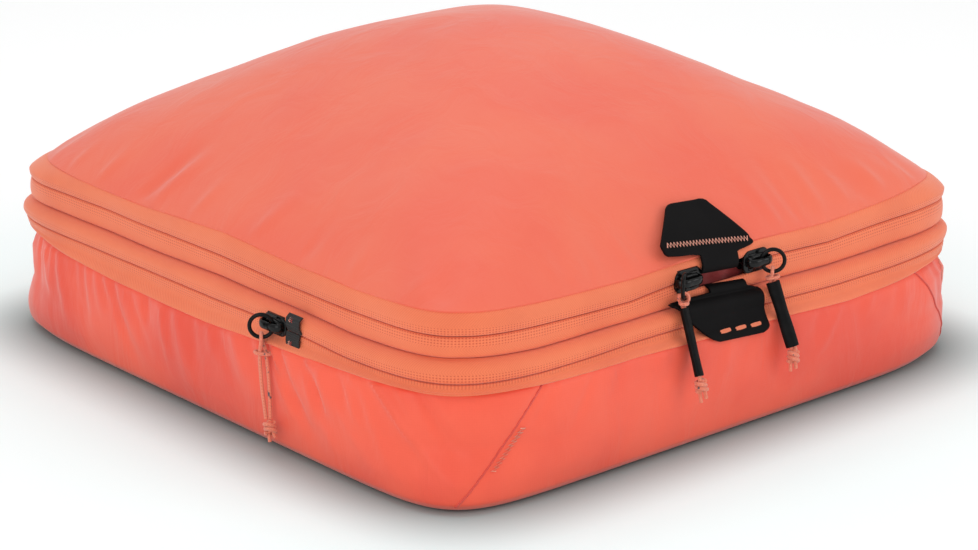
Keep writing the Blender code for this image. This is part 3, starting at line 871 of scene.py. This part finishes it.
WALL_FOLDS = (
    folds(30, 4, (BACK_LEFT - 0.02, FRONT_LEFT - 0.05), lambda run: 0.35, 0.0019, (0.018, 0.044))
    + folds(9, 9, (FRONT_LEFT - 0.12, FRONT_LEFT - 0.01), lambda run: 0.95, 0.0024, (0.030, 0.050))
    + folds(13, 12, (FRONT_LEFT + 0.04, FRONT_RIGHT - 0.03), lambda run: -0.5, 0.0009,
            (0.012, 0.030))
    + folds(5, 17, (FRONT_RIGHT - 0.03, FRONT_RIGHT + 0.02), lambda run: 0.5, 0.0013,
            (0.025, 0.045))
    + folds(20, 23, (FRONT_RIGHT + 0.03, BACK_RIGHT - 0.02), lambda run: -0.2, 0.0012,
            (0.018, 0.040))
    + folds(16, 31, (BACK_RIGHT + 0.02, GIRTH), lambda run: 0.2, 0.0010, (0.015, 0.036))
    + folds(10, 37, (0.0, BACK_LEFT - 0.02), lambda run: 0.2, 0.0010, (0.015, 0.036)))

SHELL_HALF = np.array([BASE_HALF - 0.0022, BASE_HALF, BASE_HALF + 0.0028, BASE_HALF + 0.0058,
                       BULGE_HALF - 0.0014, BULGE_HALF - 0.0002, BULGE_HALF,
                       BULGE_HALF - 0.0004, BULGE_HALF - 0.0013, 0.1803, 0.1788])
SHELL_HEIGHT = np.array([0.0, 0.0003, 0.0017, 0.0052, 0.0140, 0.0240, 0.0340, 0.0420, 0.0490,
                         0.0512, 0.0514])


SEAM_LOW = 0.0040             # heights that the corner seams run between
SEAM_HIGH = 0.0512


def seam_run(height, across=-1, along=-1):
    """Where the slanting seam of a corner, the near one if not told, is round the case."""
    ends = [run_at(0.1775 * across, 0.1795 * along), run_at(0.1315 * across, 0.1895 * along)]
    return np.interp(height, [SEAM_LOW, SEAM_HIGH], ends)


def shell_push(run, height):
    """Gathers under the zip, long soft folds and the pull of the corner seams."""
    live = smooth(height, 0.004, 0.016) * (1.0 - smooth(height, 0.0495, 0.0516) * 0.9)
    x, y, _ = np.moveaxis(outline(run, BULGE_HALF, height), -1, 0)
    broad = ripple(x, y, height, 22.0, 3.7) * 0.0011
    fine = ripple(x, y, height * 0.45, 75.0, 9.1) * 0.00045
    out = (fold_push(run, height, WALL_FOLDS) + broad + fine) * live
    for turn in (FRONT_LEFT, FRONT_RIGHT, BACK_LEFT, BACK_RIGHT):
        beside = np.abs(run - turn)
        out -= 0.0012 * np.exp(-(beside / 0.010) ** 2) * smooth(height, 0.028, 0.050)
    valley = np.abs(run - seam_run(height))
    out -= 0.0011 * np.exp(-(valley / 0.0016) ** 2) * live
    return out + corner_out(run, height)


BASE_SHARE = 0.16             # share of the grid's rows that are the flat base


def lower_case():
    """Walls and base of the bottom level."""
    stations = walked(SHELL_HALF, SHELL_HEIGHT)
    piece, across, up = grid("lower_case", 640, 50)
    run = across * GIRTH
    walk = (np.clip(up, BASE_SHARE, 1.0) - BASE_SHARE) / (1.0 - BASE_SHARE) * stations[-1]
    half = np.interp(walk, stations, SHELL_HALF)
    height = np.interp(walk, stations, SHELL_HEIGHT)
    places = outline(run, half, height, shell_push(run, height))
    places[:, :2] *= np.clip(up / BASE_SHARE, 0.0, 1.0)[:, None]
    places[:, 2] += sag(run, height) * smooth(height, 0.02, 0.05)
    shape_grid(piece, places, np.stack([run, walk], axis=-1))
    finish_cloth(piece, 0.0009)
    fit(piece, WALL_PANEL, "base", "bottom_shell")


def swept(name, section, slit_at_top, columns, rows, finish, body, thickness=0.0008,
          lift=None, push=None):
    """A strip of cloth all the way round, whose section runs through (half width, height) points,
    upwards. Lift is its share of the front opening, and push moves it outwards."""
    halves, heights = np.array(section).T
    stations = walked(halves, heights)
    piece, across, up = grid(name, columns, rows)
    run, walk = across * GIRTH, up * stations[-1]
    half, height = np.interp(walk, stations, halves), np.interp(walk, stations, heights)
    out = np.zeros_like(run) if push is None else push(run, height)
    places = outline(run, half, height, out + corner_out(run, height))
    places[:, 2] += sag(run, height)
    if lift is not None:
        places[:, 2] += lift(up) * parting(places[:, 0], places[:, 1])
    away = np.abs(walk - (stations[-1] if slit_at_top else 0.0))
    shape_grid(piece, places, np.stack([run, away], axis=-1))
    finish_cloth(piece, thickness)
    paint(piece, finish)
    if body:
        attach(piece, body)
    return piece


def rounded(points):
    """Corner cutting, twice, so that a section is smooth."""
    for _ in range(2):
        cut = [points[0]]
        for (a, b), (c, d) in zip(points, points[1:]):
            cut += [(a * 0.75 + c * 0.25, b * 0.75 + d * 0.25),
                    (a * 0.25 + c * 0.75, b * 0.25 + d * 0.75)]
        points = cut + [points[-1]]
    return points


def tape_push(seed):
    """A slight unevenness of the tape."""
    def push(run, height):
        x, y, _ = np.moveaxis(outline(run, MAIN_HALF, height), -1, 0)
        return ripple(x, y, height * 2.0, 34.0, seed) * 0.0006
    return push


SLIT_EDGE = 0.00014           # how far each tape's edge stays from the slit's middle
COIL_IN = 0.0016              # how far inside the tapes the coil runs


def zip_tape(name, section, below, body, seed, lift=None):
    """One tape of a zip, below or above its slit."""
    piece = swept(name, rounded(section), below, 560, 20, TAPE, body,
                  push=tape_push(seed), lift=lift)
    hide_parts(name)


def zip_coil(name, half, low, body, rise):
    """One half of a zip's coil, a thin bead behind the tapes."""
    piece = swept(name, [(half, low), (half + 0.0003, low + 0.0007), (half, low + 0.0014)],
                  False, 560, 6, COIL, body, thickness=0.0012, lift=lambda up: rise)
    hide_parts(name)


def zips():
    low, high = EXPANSION_SLIT - SLIT_EDGE, EXPANSION_SLIT + SLIT_EDGE
    zip_tape("expansion_tape_lower",
             [(0.1806, 0.0498), (0.1822, 0.0508), (0.1800, 0.0530), (0.1778, 0.0546),
              (0.1772, 0.0572), (0.1772, 0.0596), (0.1766, low), (0.1754, low)],
             True, "base", 1.3)
    zip_tape("expansion_tape_upper",
             [(0.1754, high), (0.1766, high), (0.1773, 0.0625), (0.1774, 0.0650),
              (0.1768, 0.0672), (0.1745, 0.0690), (0.1712, 0.0697), (0.1685, 0.0698)],
             False, "collar", 1.3)
    low, high = MAIN_SLIT - SLIT_EDGE, MAIN_SLIT + SLIT_EDGE
    zip_tape("main_tape_lower",
             [(0.1685, 0.0700), (0.1702, 0.0701), (0.1713, 0.0712), (0.1716, 0.0740),
              (0.1714, 0.0775), (0.1708, low), (0.1696, low)],
             True, "collar", 5.1, lambda up: -LOWER_DROP * smooth(up, 0.2, 0.95))
    zip_tape("main_tape_upper",
             [(0.1696, high), (0.1708, high), (0.1715, 0.0812), (0.1718, 0.0845),
              (0.1714, 0.0880), (0.1702, 0.0901), (0.1688, 0.0905)],
             False, "lid", 5.1, lambda up: UPPER_RISE * (1.0 - smooth(up, 0.05, 0.8)))
    half = EXPANSION_HALF - COIL_IN
    zip_coil("expansion_coil_lower", half, EXPANSION_SLIT - 0.0018, "base", 0.0)
    zip_coil("expansion_coil_upper", half, EXPANSION_SLIT + 0.0004, "collar", 0.0)
    half = MAIN_HALF - COIL_IN
    zip_coil("main_coil_lower", half, MAIN_SLIT - 0.0018, "collar", -LOWER_DROP)
    zip_coil("main_coil_upper", half, MAIN_SLIT + 0.0004, "lid", UPPER_RISE)


def linings():
    """The inner collar, the gusset that the expansion zip lets out, and two facings, the second a
    dark sheet behind the front opening; all in the dark inner colour, which is painted shade.
    """
    collar = swept("inner_collar",
                   [(0.1640, 0.0612), (0.1652, 0.0640), (0.1656, 0.0680), (0.1668, 0.0700),
                    (0.1672, 0.0735)], False, 400, 12, INNER_PAINTED_SHADE, "collar",
                   thickness=0.0009, lift=lambda up: -LOWER_DROP * smooth(up, 0.5, 1.0))
    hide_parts("collar_band")

    def gathers(run, height):
        x, y, _ = np.moveaxis(outline(run, 0.16, height), -1, 0)
        return ripple(x, y, height * 0.5, 60.0, 6.6) * 0.0007

    fold = swept("expansion_gusset",
                 [(0.1612, 0.0300), (0.1604, 0.0380), (0.1600, 0.0450), (0.1604, 0.0530),
                  (0.1614, 0.0595), (0.1638, 0.0614)], False, 400, 16, INNER_PAINTED_SHADE, None,
                 thickness=0.0008, push=gathers)
    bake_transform(fold)
    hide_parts("gusset")
    swept("lid_facing", [(0.1640, 0.0836), (0.1652, 0.0850), (0.1654, 0.0880), (0.1650, 0.0905)],
          False, 400, 8, INNER_PAINTED_SHADE, "lid", thickness=0.0009,
          lift=lambda up: UPPER_RISE * (1.0 - smooth(up, 0.0, 0.7)) * 0.3)
    # Painted shade: a dark sheet behind the open zip between the front sliders, where the inside
    # of the case lies in shade.
    shade_sheet, across, up = grid("opening_painted_shade_sheet", 40, 12)
    x = PART_CENTRE + (across - 0.5) * 0.050
    z = 0.0775 + (up - 0.5) * 0.0130
    y = -0.1722 + 0.0005 * np.sin(x * 520.0) + 0.0004 * np.sin(z * 900.0 + x * 260.0)
    shape_grid(shade_sheet, np.stack([x, y, z], axis=-1), np.stack([x, z], axis=-1))
    finish_cloth(shade_sheet, 0.0007, closed=False)
    fit(shade_sheet, INNER_PAINTED_SHADE, "collar")


def dome_height(x, y):
    """Height of the filled top over the plan."""
    half = MAIN_HALF + 0.0007
    u = np.abs(x) / half
    v = np.abs(y) / (half + DEPTH_EXTRA)
    edge = (u ** CRISP_POWER + v ** CRISP_POWER) ** (1.0 / CRISP_POWER)
    power = 3.54 + (CRISP_POWER - 3.54) * np.minimum(edge, 1.0) ** 4
    reach = np.maximum(u ** power + v ** power, 1e-12) ** (1.0 / power)
    swell = np.maximum(1.0 - np.sqrt(reach ** 2 + 0.008) ** 1.68, 0.0) ** 0.9
    return RIM + DOME_RISE * swell


TOP_FOLDS = (
    # (x, y) at the edge, (x, y) inside, half width, stand
    (-0.170, 0.062, -0.128, 0.040, 0.0032, -0.0011),
    (-0.170, 0.050, -0.135, 0.034, 0.0030, 0.0009),
    (-0.170, 0.018, -0.142, 0.010, 0.0030, 0.0007),
    (-0.170, -0.030, -0.140, -0.040, 0.0034, 0.0008),
    (-0.170, -0.070, -0.146, -0.070, 0.0030, -0.0006),
    (-0.170, 0.100, -0.145, 0.090, 0.0030, 0.0007),
    (-0.170, 0.128, -0.148, 0.118, 0.0028, 0.0006),
    (-0.170, -0.105, -0.150, -0.098, 0.0030, 0.0006),
    (0.036, -0.176, 0.030, -0.142, 0.0032, 0.0010),
    (0.050, -0.176, 0.046, -0.136, 0.0030, -0.0009),
    (0.066, -0.176, 0.062, -0.140, 0.0034, 0.0011),
    (0.084, -0.176, 0.078, -0.146, 0.0030, 0.0006),
    (0.110, -0.176, 0.102, -0.150, 0.0032, 0.0007),
    (0.138, -0.174, 0.126, -0.150, 0.0030, 0.0006),
    (-0.060, -0.176, -0.062, -0.150, 0.0030, 0.0007),
    (-0.080, -0.176, -0.078, -0.152, 0.0030, 0.0005),
    (-0.105, -0.176, -0.100, -0.155, 0.0030, 0.0006))
RIM_SHARE = 0.982             # share of the top's grid inside the rim; the rest is its skirt


def top_panel():
    """The domed top, gathered a little into the zip all round."""
    piece, across, up = grid("top_panel_cloth", 210, 210)
    s, t = across * 2.0 - 1.0, up * 2.0 - 1.0
    reach = np.maximum(np.abs(s), np.abs(t))
    share = np.minimum(reach / RIM_SHARE, 1.0)
    shape = (np.abs(s) ** CRISP_POWER + np.abs(t) ** CRISP_POWER) ** (1.0 / CRISP_POWER)
    shape = np.maximum(shape, 1e-9)
    half = MAIN_HALF - 0.0004
    x = s / shape * share * half
    y = t / shape * share * (half + DEPTH_EXTRA)
    inside = (1.0 - share) * MAIN_HALF
    skirt = smooth(reach, RIM_SHARE, 1.0)
    z = dome_height(x, y) - skirt * 0.0026
    x = x * (1.0 - skirt * 0.006)
    y = y * (1.0 - skirt * 0.006)

    # Gathers from the zip inwards, and a broad unevenness of what is packed inside
    angle = np.arctan2(y / (half + DEPTH_EXTRA), x / half)
    run = np.interp(np.mod(angle - math.pi / 2, math.tau) + math.pi / 2, ANGLES, RUNS)
    gather = np.zeros_like(x)
    pick = random.Random(52)
    for _ in range(5):
        period = pick.choice((17, 23, 31, 44, 61)) + pick.randint(0, 4)
        gather += np.sin(run / GIRTH * math.tau * period + pick.uniform(0, 6.28)) * 0.22
    where = ripple(np.cos(run / GIRTH * math.tau), np.sin(run / GIRTH * math.tau), 0.0 * run,
                   2.6, 4.4)
    gather *= smooth(where, -0.15, 0.45)
    edge_on = np.exp(-((inside - 0.006) / 0.011) ** 2) * smooth(inside, 0.0, 0.005)
    z += gather * edge_on * 0.0019
    for x_edge, y_edge, x_in, y_in, width, stand in TOP_FOLDS:
        step_x, step_y = x_in - x_edge, y_in - y_edge
        walk = ((x - x_edge) * step_x + (y - y_edge) * step_y) / (step_x ** 2 + step_y ** 2)
        held = np.clip(walk, 0.0, 1.0)
        away = np.hypot(x - x_edge - held * step_x, y - y_edge - held * step_y)
        fade = (1.0 - smooth(held, 0.3, 1.0)) * smooth(inside, 0.0, 0.006)
        z += 1.9 * stand * fade * np.exp(-(away / (width * (1.0 + 0.8 * held))) ** 2)
    z += ripple(x, y, 0.0 * x, 13.0, 2.2) * 0.0020 * smooth(inside, 0.0, 0.05)
    z += ripple(x, y, 0.0 * x, 45.0, 7.7) * 0.00045 * smooth(inside, 0.0, 0.02)
    close = smooth(share, 0.80, 1.0)
    z += sag(run, np.full_like(x, RIM)) * close
    out = corner_out(run, np.full_like(x, RIM)) * close
    length = np.maximum(np.hypot(x, y), 1e-6)
    x, y = x + x / length * out * 1.3, y + y / length * out * 1.3
    shape_grid(piece, np.stack([x, y, z], axis=-1), np.stack([x, y], axis=-1))
    finish_cloth(piece, 0.0009, closed=False)
    # The top's cloth is painted lighter than the walls, as painted light.
    fit(piece, TOP_PANEL_PAINTED_LIGHT, "lid", "top_panel")


# Seams, bar tacks and stitches

def zigzag(name, line, ways, width, pitch, radius, finish, body):
    """A dense zigzag of thread along a line of places, lying across given ways."""
    points = []
    length = path_length(line)
    count = max(4, int(length / pitch))
    gaps = [0.0]
    for before, after in zip(line, line[1:]):
        gaps.append(gaps[-1] + (after - before).length)
    for step in range(count + 1):
        walk = length * step / count
        i = min(max(j for j, gap in enumerate(gaps) if gap <= walk + 1e-9), len(line) - 2)
        share = (walk - gaps[i]) / max(gaps[i + 1] - gaps[i], 1e-9)
        middle = line[i].lerp(line[i + 1], share)
        way = ways[i].lerp(ways[i + 1], share)
        points.append(middle + way * (width / 2 * (1 if step % 2 else -1)))
    fit(smooth_tube(name, points, radius, finish, 1), finish, body)


def wall_point(run, height, out=0.0):
    """A place on the lower wall's cloth, moved out a little."""
    run, height = np.array([run]), np.array([height])
    half = np.interp(height, SHELL_HEIGHT, SHELL_HALF)
    place = outline(run, half, height, shell_push(run, height) + out)
    place[:, 2] += sag(run, height) * smooth(height, 0.02, 0.05)
    return Vector(place[0])


def corner_seams():
    """The slanting seams at the four corners, and a bar tack beside each of the two in front."""
    for name, across, along in (("corner_seam_front_left", -1, -1),
                                ("corner_seam_front_right", 1, -1),
                                ("corner_seam_back_right", 1, 1),
                                ("corner_seam_back_left", -1, 1)):
        line = [wall_point(float(seam_run(height, across, along)), height, 0.0001)
                for height in np.linspace(SEAM_HIGH, SEAM_LOW, 48)]
        piece = smooth_tube(name + "_fold", line, 0.00055, SEAM_THREAD, 2)
        fit(piece, SEAM_THREAD, "base", name)
    line, ways = [], []
    for height in np.linspace(0.0350, 0.0185, 12):
        run = float(seam_run(height)) + 0.0034
        line.append(wall_point(run, height, 0.0005))
        across = wall_point(run + 0.001, height + 0.0002) - wall_point(run, height)
        ways.append(across.normalized())
    zigzag("bar_tack_near", line, ways, 0.0032, 0.00110, 0.00030, PALE_THREAD, "base")
    line, ways = [], []
    for height in np.linspace(0.0480, 0.0360, 10):
        run = FRONT_RIGHT - 0.006 - (0.048 - height) * 0.10
        line.append(wall_point(run, height, 0.0004))
        ways.append((wall_point(run + 0.001, height) - wall_point(run, height)).normalized())
    zigzag("bar_tack_far", line, ways, 0.0022, 0.00135, 0.00024, PALE_THREAD, "base")


def end_patches():
    """Black webbing over the end of the expansion zip, half on each level."""
    for name, heights, halves, body, thread_at in (
            ("end_cover_lower", (0.0543, 0.0570, 0.0606), (0.1792, 0.1787, 0.1779), "base",
             (0.0548, 0.0566)),
            ("end_cover_upper", (0.0613, 0.0640, 0.0668, 0.0684), (0.1779, 0.1787, 0.1781, 0.1762),
             "collar", (0.0658, 0.0676))):
        piece, across, up = grid(name + "_webbing", 10, 12)
        stations = np.linspace(0.0, 1.0, len(heights))
        z = np.interp(up, stations, heights)
        x = -np.interp(up, stations, halves)
        y = -0.0812 + across * 0.0098 + 0.0012 * np.sin(up * 2.0)
        shape_grid(piece, np.stack([x, y, z], axis=-1), np.stack([y, z], axis=-1))
        with editing(piece):
            bpy.ops.mesh.flip_normals()
        finish_cloth(piece, 0.0007, 1.0, closed=False)
        fit(piece, WEBBING, body, name)
        for label, y_row, finish in (("pale", -0.0732, PALE_THREAD), ("red", -0.0746, RED_THREAD)):
            line, ways = [], []
            for height in np.linspace(thread_at[0], thread_at[1], 7):
                half = np.interp(height, heights, halves)
                line.append(Vector((-half - 0.0008, y_row, height)))
                ways.append(Vector((0, 1, 0)))
            zigzag("%s_%s_stitches" % (name, label), line, ways, 0.0011, 0.0006, 0.00020, finish,
                   body)


# Tabs

TOP_TAB_MIDDLE = -0.0170      # where each tab's tilt leaves it at its own height
BOTTOM_TAB_MIDDLE = -0.0120


def tilted(x, y, z, middle):
    """Heights on a tab that hangs a little lower at its right-hand end, clear of the top."""
    on_top = (z > RIM - 0.001) & (y > -0.1762)
    z = z + (middle - x) * 0.075
    return np.where(on_top, np.maximum(z, dome_height(x, y) + 0.0010), z)


def tab_sheet(name, path, lefts, rights, flip, middle, body, node):
    """A tab along a path of (y, z) points, its left and right edges at shares of the way."""
    y_path, z_path = np.array(smooth_path([Vector((0, y, z)) for y, z in path], 0.0006)).T[1:]
    walk = walked(y_path, z_path)
    piece, across, up = grid(name, 30, 64)
    at = (1.0 - up if flip else up) * walk[-1]
    y, z = np.interp(at, walk, y_path), np.interp(at, walk, z_path)
    left, right = (np.interp(at, walk, np.interp(walk / walk[-1], *zip(*edge)))
                   for edge in (lefts, rights))
    x = left + (right - left) * across
    z = tilted(x, y, z, middle)
    shape_grid(piece, np.stack([x, y, z], axis=-1), np.stack([x, up * walk[-1]], axis=-1))
    thicken(piece, 0.0011, 0.0)
    bevel_edges(piece, "rounded_edges", 0.00028, 2, 50)
    bpy.ops.object.shade_smooth_by_angle(angle=math.radians(45))
    fit(piece, COATED, body, node)


def top_tab():
    """The trapezoid on the top, whose strap rolls over the zip's edge into the opening."""
    front = MAIN_FRONT
    path = [(front + 0.0022, 0.0808), (front - 0.0006, 0.0804), (front - 0.0024, 0.0816),
            (front - 0.0031, 0.0840), (front - 0.0025, 0.0866), (front - 0.0017, 0.0886)]
    for y in (-0.1762, -0.1728, -0.1688, -0.1645, -0.1602, -0.1562):
        path.append((y - 0.0007, float(dome_height(np.array(-0.012), np.array(y))) + 0.0013))
    left = [(0.0, -0.0222), (0.325, -0.0222), (0.340, -0.0360), (0.355, -0.0425),
            (0.395, -0.0440), (0.50, -0.0436), (0.90, -0.0280), (0.955, -0.0260),
            (0.985, -0.0242), (1.0, -0.0216)]
    right = [(0.0, 0.0012), (0.290, 0.0012), (0.310, 0.0070), (0.335, 0.0122), (0.365, 0.0130),
             (0.42, 0.0112), (0.90, 0.0012), (0.955, 0.0004), (0.985, -0.0010), (1.0, -0.0034)]
    tab_sheet("top_tab_panel", path, left, right, False, TOP_TAB_MIDDLE, "lid", "top_tab")
    line, ways = [], []
    for step in range(16):
        share = step / 15
        place = Vector((-0.0408 + 0.0508 * share, -0.1746 - 0.0024 * share, 0.0))
        place.z = float(np.interp(place.y, [at[0] for at in path[5:]], [at[1] for at in path[5:]]))
        place.z = float(tilted(place.x, place.y, place.z, TOP_TAB_MIDDLE)) + 0.0013
        line.append(place)
        ways.append(Vector((0.0, 0.60, 0.80)))
    zigzag("top_tab_stitches", line, ways, 0.0024, 0.00100, 0.00027, PALE_THREAD, "lid")


SLOT_HEIGHT = 0.0536          # the three slots in the bottom tab
SLOT_SPACING = 0.0101
SLOT_STRETCH = 0.0026         # how far each slot's round ends are pulled from its middle


def bottom_tab():
    """The lower trapezoid, whose strap rolls up over the collar's edge."""
    front = MAIN_FRONT
    path = [(front + 0.0022, 0.0724), (front - 0.0006, 0.0730), (front - 0.0026, 0.0722),
            (front - 0.0034, 0.0704), (front - 0.0032, 0.0690), (front - 0.0038, 0.0682),
            (front - 0.0052, 0.0676), (front - 0.0068, 0.0664), (front - 0.0075, 0.0645),
            (front - 0.0078, 0.0600), (front - 0.0100, 0.0556), (front - 0.0124, 0.0522),
            (front - 0.0130, 0.0496)]
    left = [(0.0, -0.0172), (0.225, -0.0172), (0.245, -0.0330), (0.262, -0.0435),
            (0.285, -0.0440), (0.90, -0.0262), (0.955, -0.0236), (1.0, -0.0200)]
    right = [(0.0, 0.0068), (0.215, 0.0068), (0.240, 0.0110), (0.270, 0.0140), (0.320, 0.0150),
             (0.92, 0.0136), (0.965, 0.0120), (1.0, 0.0090)]
    tab_sheet("bottom_tab_panel", path, left, right, True, BOTTOM_TAB_MIDDLE, "collar",
              "bottom_tab")
    slope = Vector((0.0, -0.0024, -0.0034)).normalized()
    out = slope.cross(Vector((1, 0, 0)))
    turn = Matrix((Vector((1, 0, 0)), out.cross(Vector((1, 0, 0))), out)).transposed()
    y = float(np.interp(SLOT_HEIGHT, [0.0522, 0.0556], [front - 0.0124, front - 0.0100]))
    for i in range(3):
        x = -0.0152 + SLOT_SPACING * i
        deselect()
        bpy.ops.mesh.primitive_cylinder_add(vertices=12, radius=0.001, depth=0.0006)
        slot = bpy.context.object
        slot.name = "tab_slot_%d" % (i + 1)
        for vertex in slot.data.vertices:
            if abs(vertex.co.x) > 1e-6:
                vertex.co.x += math.copysign(SLOT_STRETCH, vertex.co.x)
        z = float(tilted(x, y, SLOT_HEIGHT, BOTTOM_TAB_MIDDLE))
        place = Vector((x, y, z)) + out * 0.0005
        slot.matrix_world = Matrix.Translation(place) @ turn.to_4x4()
        settle(slot)
        bevel = slot.modifiers.new("rounded", "BEVEL")
        bevel.width = 0.0001
        apply_modifiers(slot)
        bpy.ops.object.shade_smooth_by_angle(angle=math.radians(40))
        slot.data.uv_layers[0].name = "cloth"
        fit(slot, TAPE, "collar")


# Sliders. In a slider's own frame X runs ahead, Y is up the tape and Z stands out of it

def select_faces(piece, test):
    """In edit mode, only the faces whose centre and normal pass the test."""
    mesh = bmesh.from_edit_mesh(piece.data)
    for face in mesh.faces:
        face.select = bool(test(face.calc_center_median(), face.normal))
    for edge in mesh.edges:
        edge.select = any(face.select for face in edge.link_faces)
    bmesh.update_edit_mesh(piece.data)


def plate(name, length, width, low, high, round_off, soften, taper=1.0):
    """A cast plate with rounded ends and softened edges."""
    deselect()
    bpy.ops.mesh.primitive_cube_add(size=1.0, location=(0, 0, (low + high) / 2),
                                    scale=(length, width, high - low))
    piece = bpy.context.object
    piece.name = name
    settle(piece)
    bpy.ops.object.mode_set(mode="EDIT")
    bpy.ops.mesh.select_mode(type="EDGE")
    mesh = bmesh.from_edit_mesh(piece.data)
    for edge in mesh.edges:
        first, second = edge.verts
        edge.select = abs(first.co.z - second.co.z) > (high - low) * 0.5
    bmesh.update_edit_mesh(piece.data)
    bpy.ops.mesh.bevel(offset=round_off, segments=5, profile=0.5)
    bpy.ops.mesh.select_mode(type="FACE")
    if taper != 1.0:
        select_faces(piece, lambda centre, normal: normal.z > 0.9)
        bpy.ops.transform.resize(value=(taper, taper, 1.0), center_override=(0, 0, high))
    bpy.ops.object.mode_set(mode="OBJECT")
    bevel_edges(piece, "soft_edges", soften, 3, 35)
    return piece


def bridge(name, points, radius, width):
    """The arched bar over the plate, which the ring hangs under."""
    piece = as_mesh(tube(name, smooth_path([Vector((x, 0, z)) for x, z in points], 0.0005),
                         radius, LACQUER, 5))
    with editing(piece):
        bpy.ops.transform.resize(value=(1.0, width, 1.0), center_override=(0, 0, 0))
    return piece


def slider_model(name, half_height):
    """Cast slider: two plates, their rolled sides, a post, a raised body and its bridge."""
    parts = [plate("outer", 0.0165, 2 * half_height, 0.0004, 0.0020, 0.0038, 0.00045),
             plate("body", 0.0118, 1.35 * half_height, 0.0016, 0.0038, 0.0026, 0.0005, 0.80),
             plate("inner", 0.0150, 1.8 * half_height, -0.0046, -0.0034, 0.0034, 0.0003)]

    def add(place, *sizes):
        part = plate(*sizes)
        part.location = place
        settle(part)
        parts.append(part)

    add((-0.0060, 0, 0), "post", 0.0040, 0.0009, -0.0038, 0.0010, 0.0004, 0.0001)
    for side in (1, -1):
        add((0, side * (half_height - 0.00055), 0),
            "rail", 0.0132, 0.0011, -0.0004, 0.0012, 0.0004, 0.0003)
        add((-0.0030, side * half_height * 0.62, 0),
            "shoulder", 0.0052, 0.0016, 0.0014, 0.0030, 0.0007, 0.0004, 0.7)
    parts.append(bridge("bridge", [(-0.0063, 0.0016), (-0.0060, 0.0040), (-0.0040, 0.0054),
                                   (0.0010, 0.0058), (0.0056, 0.0055), (0.0074, 0.0040),
                                   (0.0076, 0.0016)], 0.00095, 2.1))
    return join(name, parts)


def sliders():
    model = slider_model("slider_left_cast", 0.0055)
    small = slider_model("slider_expansion_cast", 0.0048)
    select(model)
    bpy.ops.object.duplicate(linked=False)
    second = join("slider_right_cast", [bpy.context.object])
    for piece, place, ahead, out, body, node in (
            (model, (-0.0300, MAIN_FRONT, MAIN_SLIT), (-1, 0, 0), (0, -1, 0), "left_slider",
             "slider_left"),
            (second, (0.0145, MAIN_FRONT, MAIN_SLIT), (1, 0, 0), (0, -1, 0), "right_slider",
             "slider_right"),
            (small, (-EXPANSION_HALF, -0.0611, EXPANSION_SLIT), (0, 1, 0), (-1, 0, 0),
             "expansion_slider", "slider_expansion")):
        forward, outwards = Vector(ahead), Vector(out)
        turn = Matrix((forward, outwards.cross(forward), outwards)).transposed().to_4x4()
        piece.matrix_world = Matrix.Translation(place) @ turn
        settle(piece)
        bpy.ops.object.shade_smooth_by_angle(angle=math.radians(40))
        fit(piece, LACQUER, body, node)


# Floor and light

def floor():
    """A pale floor with a painted shadow just round the case, and a faint painted glow further
    out.
    """
    deselect()
    bpy.ops.mesh.primitive_plane_add(size=14.0, location=(0, 0, -0.0002))
    ground = bpy.context.object
    ground.name = "pale_floor"
    made = Finish("pale_floor", Base_Color=shade(0.98, 0.98, 0.98), Roughness=0.9,
                  Specular_IOR_Level=0.1, Emission_Strength=1.0)
    x, y, _ = made.parts(made.place())
    across = x.math("ABSOLUTE") * (1.0 / 0.172)
    along = y.math("ABSOLUTE") * (1.0 / 0.178)
    reach = (across.math("POWER", 7.0) + along.math("POWER", 7.0)).math("POWER", 1.0 / 7.0)
    # Painted shadow: the floor is dark grey near the case, and the cast mix fades from a cyan
    # tint, painted against the pink light bounced off the case, to white.
    outside_painted_shadow = reach.step(0.92, 1.30)
    cast = made.mix(reach.step(1.1, 2.4), shade(0.86, 0.985, 0.985), shade(0.98, 0.98, 0.98))
    # A painted glow that lifts the open floor further out and leaves the painted shadow darker.
    painted_glow = made.mix(reach.step(1.0, 1.5), shade(0.0, 0.0, 0.0), shade(0.075, 0.08, 0.08))
    made.connect(Base_Color=made.mix(outside_painted_shadow, shade(0.17, 0.245, 0.245), cast),
                 Emission_Color=painted_glow)
    ground.data.materials.append(made.material)


def soft_light(name, place, target, size, power):
    """A square area light that faces a target."""
    bpy.ops.object.light_add(type="AREA", location=place)
    light = bpy.context.object
    light.name = name
    light.data.shape = "RECTANGLE"
    light.data.size = light.data.size_y = size
    light.data.energy = power
    light.rotation_euler = (Vector(target) - Vector(place)).to_track_quat("-Z", "Y").to_euler()


def studio():
    world = bpy.data.worlds.new("studio")
    bpy.context.scene.world = world
    world.use_nodes = True
    background = world.node_tree.nodes["Background"]
    background.inputs["Color"].default_value = (1.0, 1.0, 1.0, 1.0)
    background.inputs["Strength"].default_value = 0.66
    soft_light("overhead", (0.15, 0.35, 1.5), (0, 0, 0.05), 1.8, 7.5)
    soft_light("left_front", (-1.5, -0.7, 0.75), (0, 0, 0.08), 1.0, 6.5)
    soft_light("right_front", (0.9, -1.6, 0.8), (0, 0, 0.06), 1.0, 6.5)
    view = bpy.context.scene.view_settings
    view.view_transform = "Standard"
    view.look = "None"


lower_case()
zips()
linings()
top_panel()
corner_seams()
end_patches()
top_tab()
bottom_tab()
sliders()
floor()
studio()
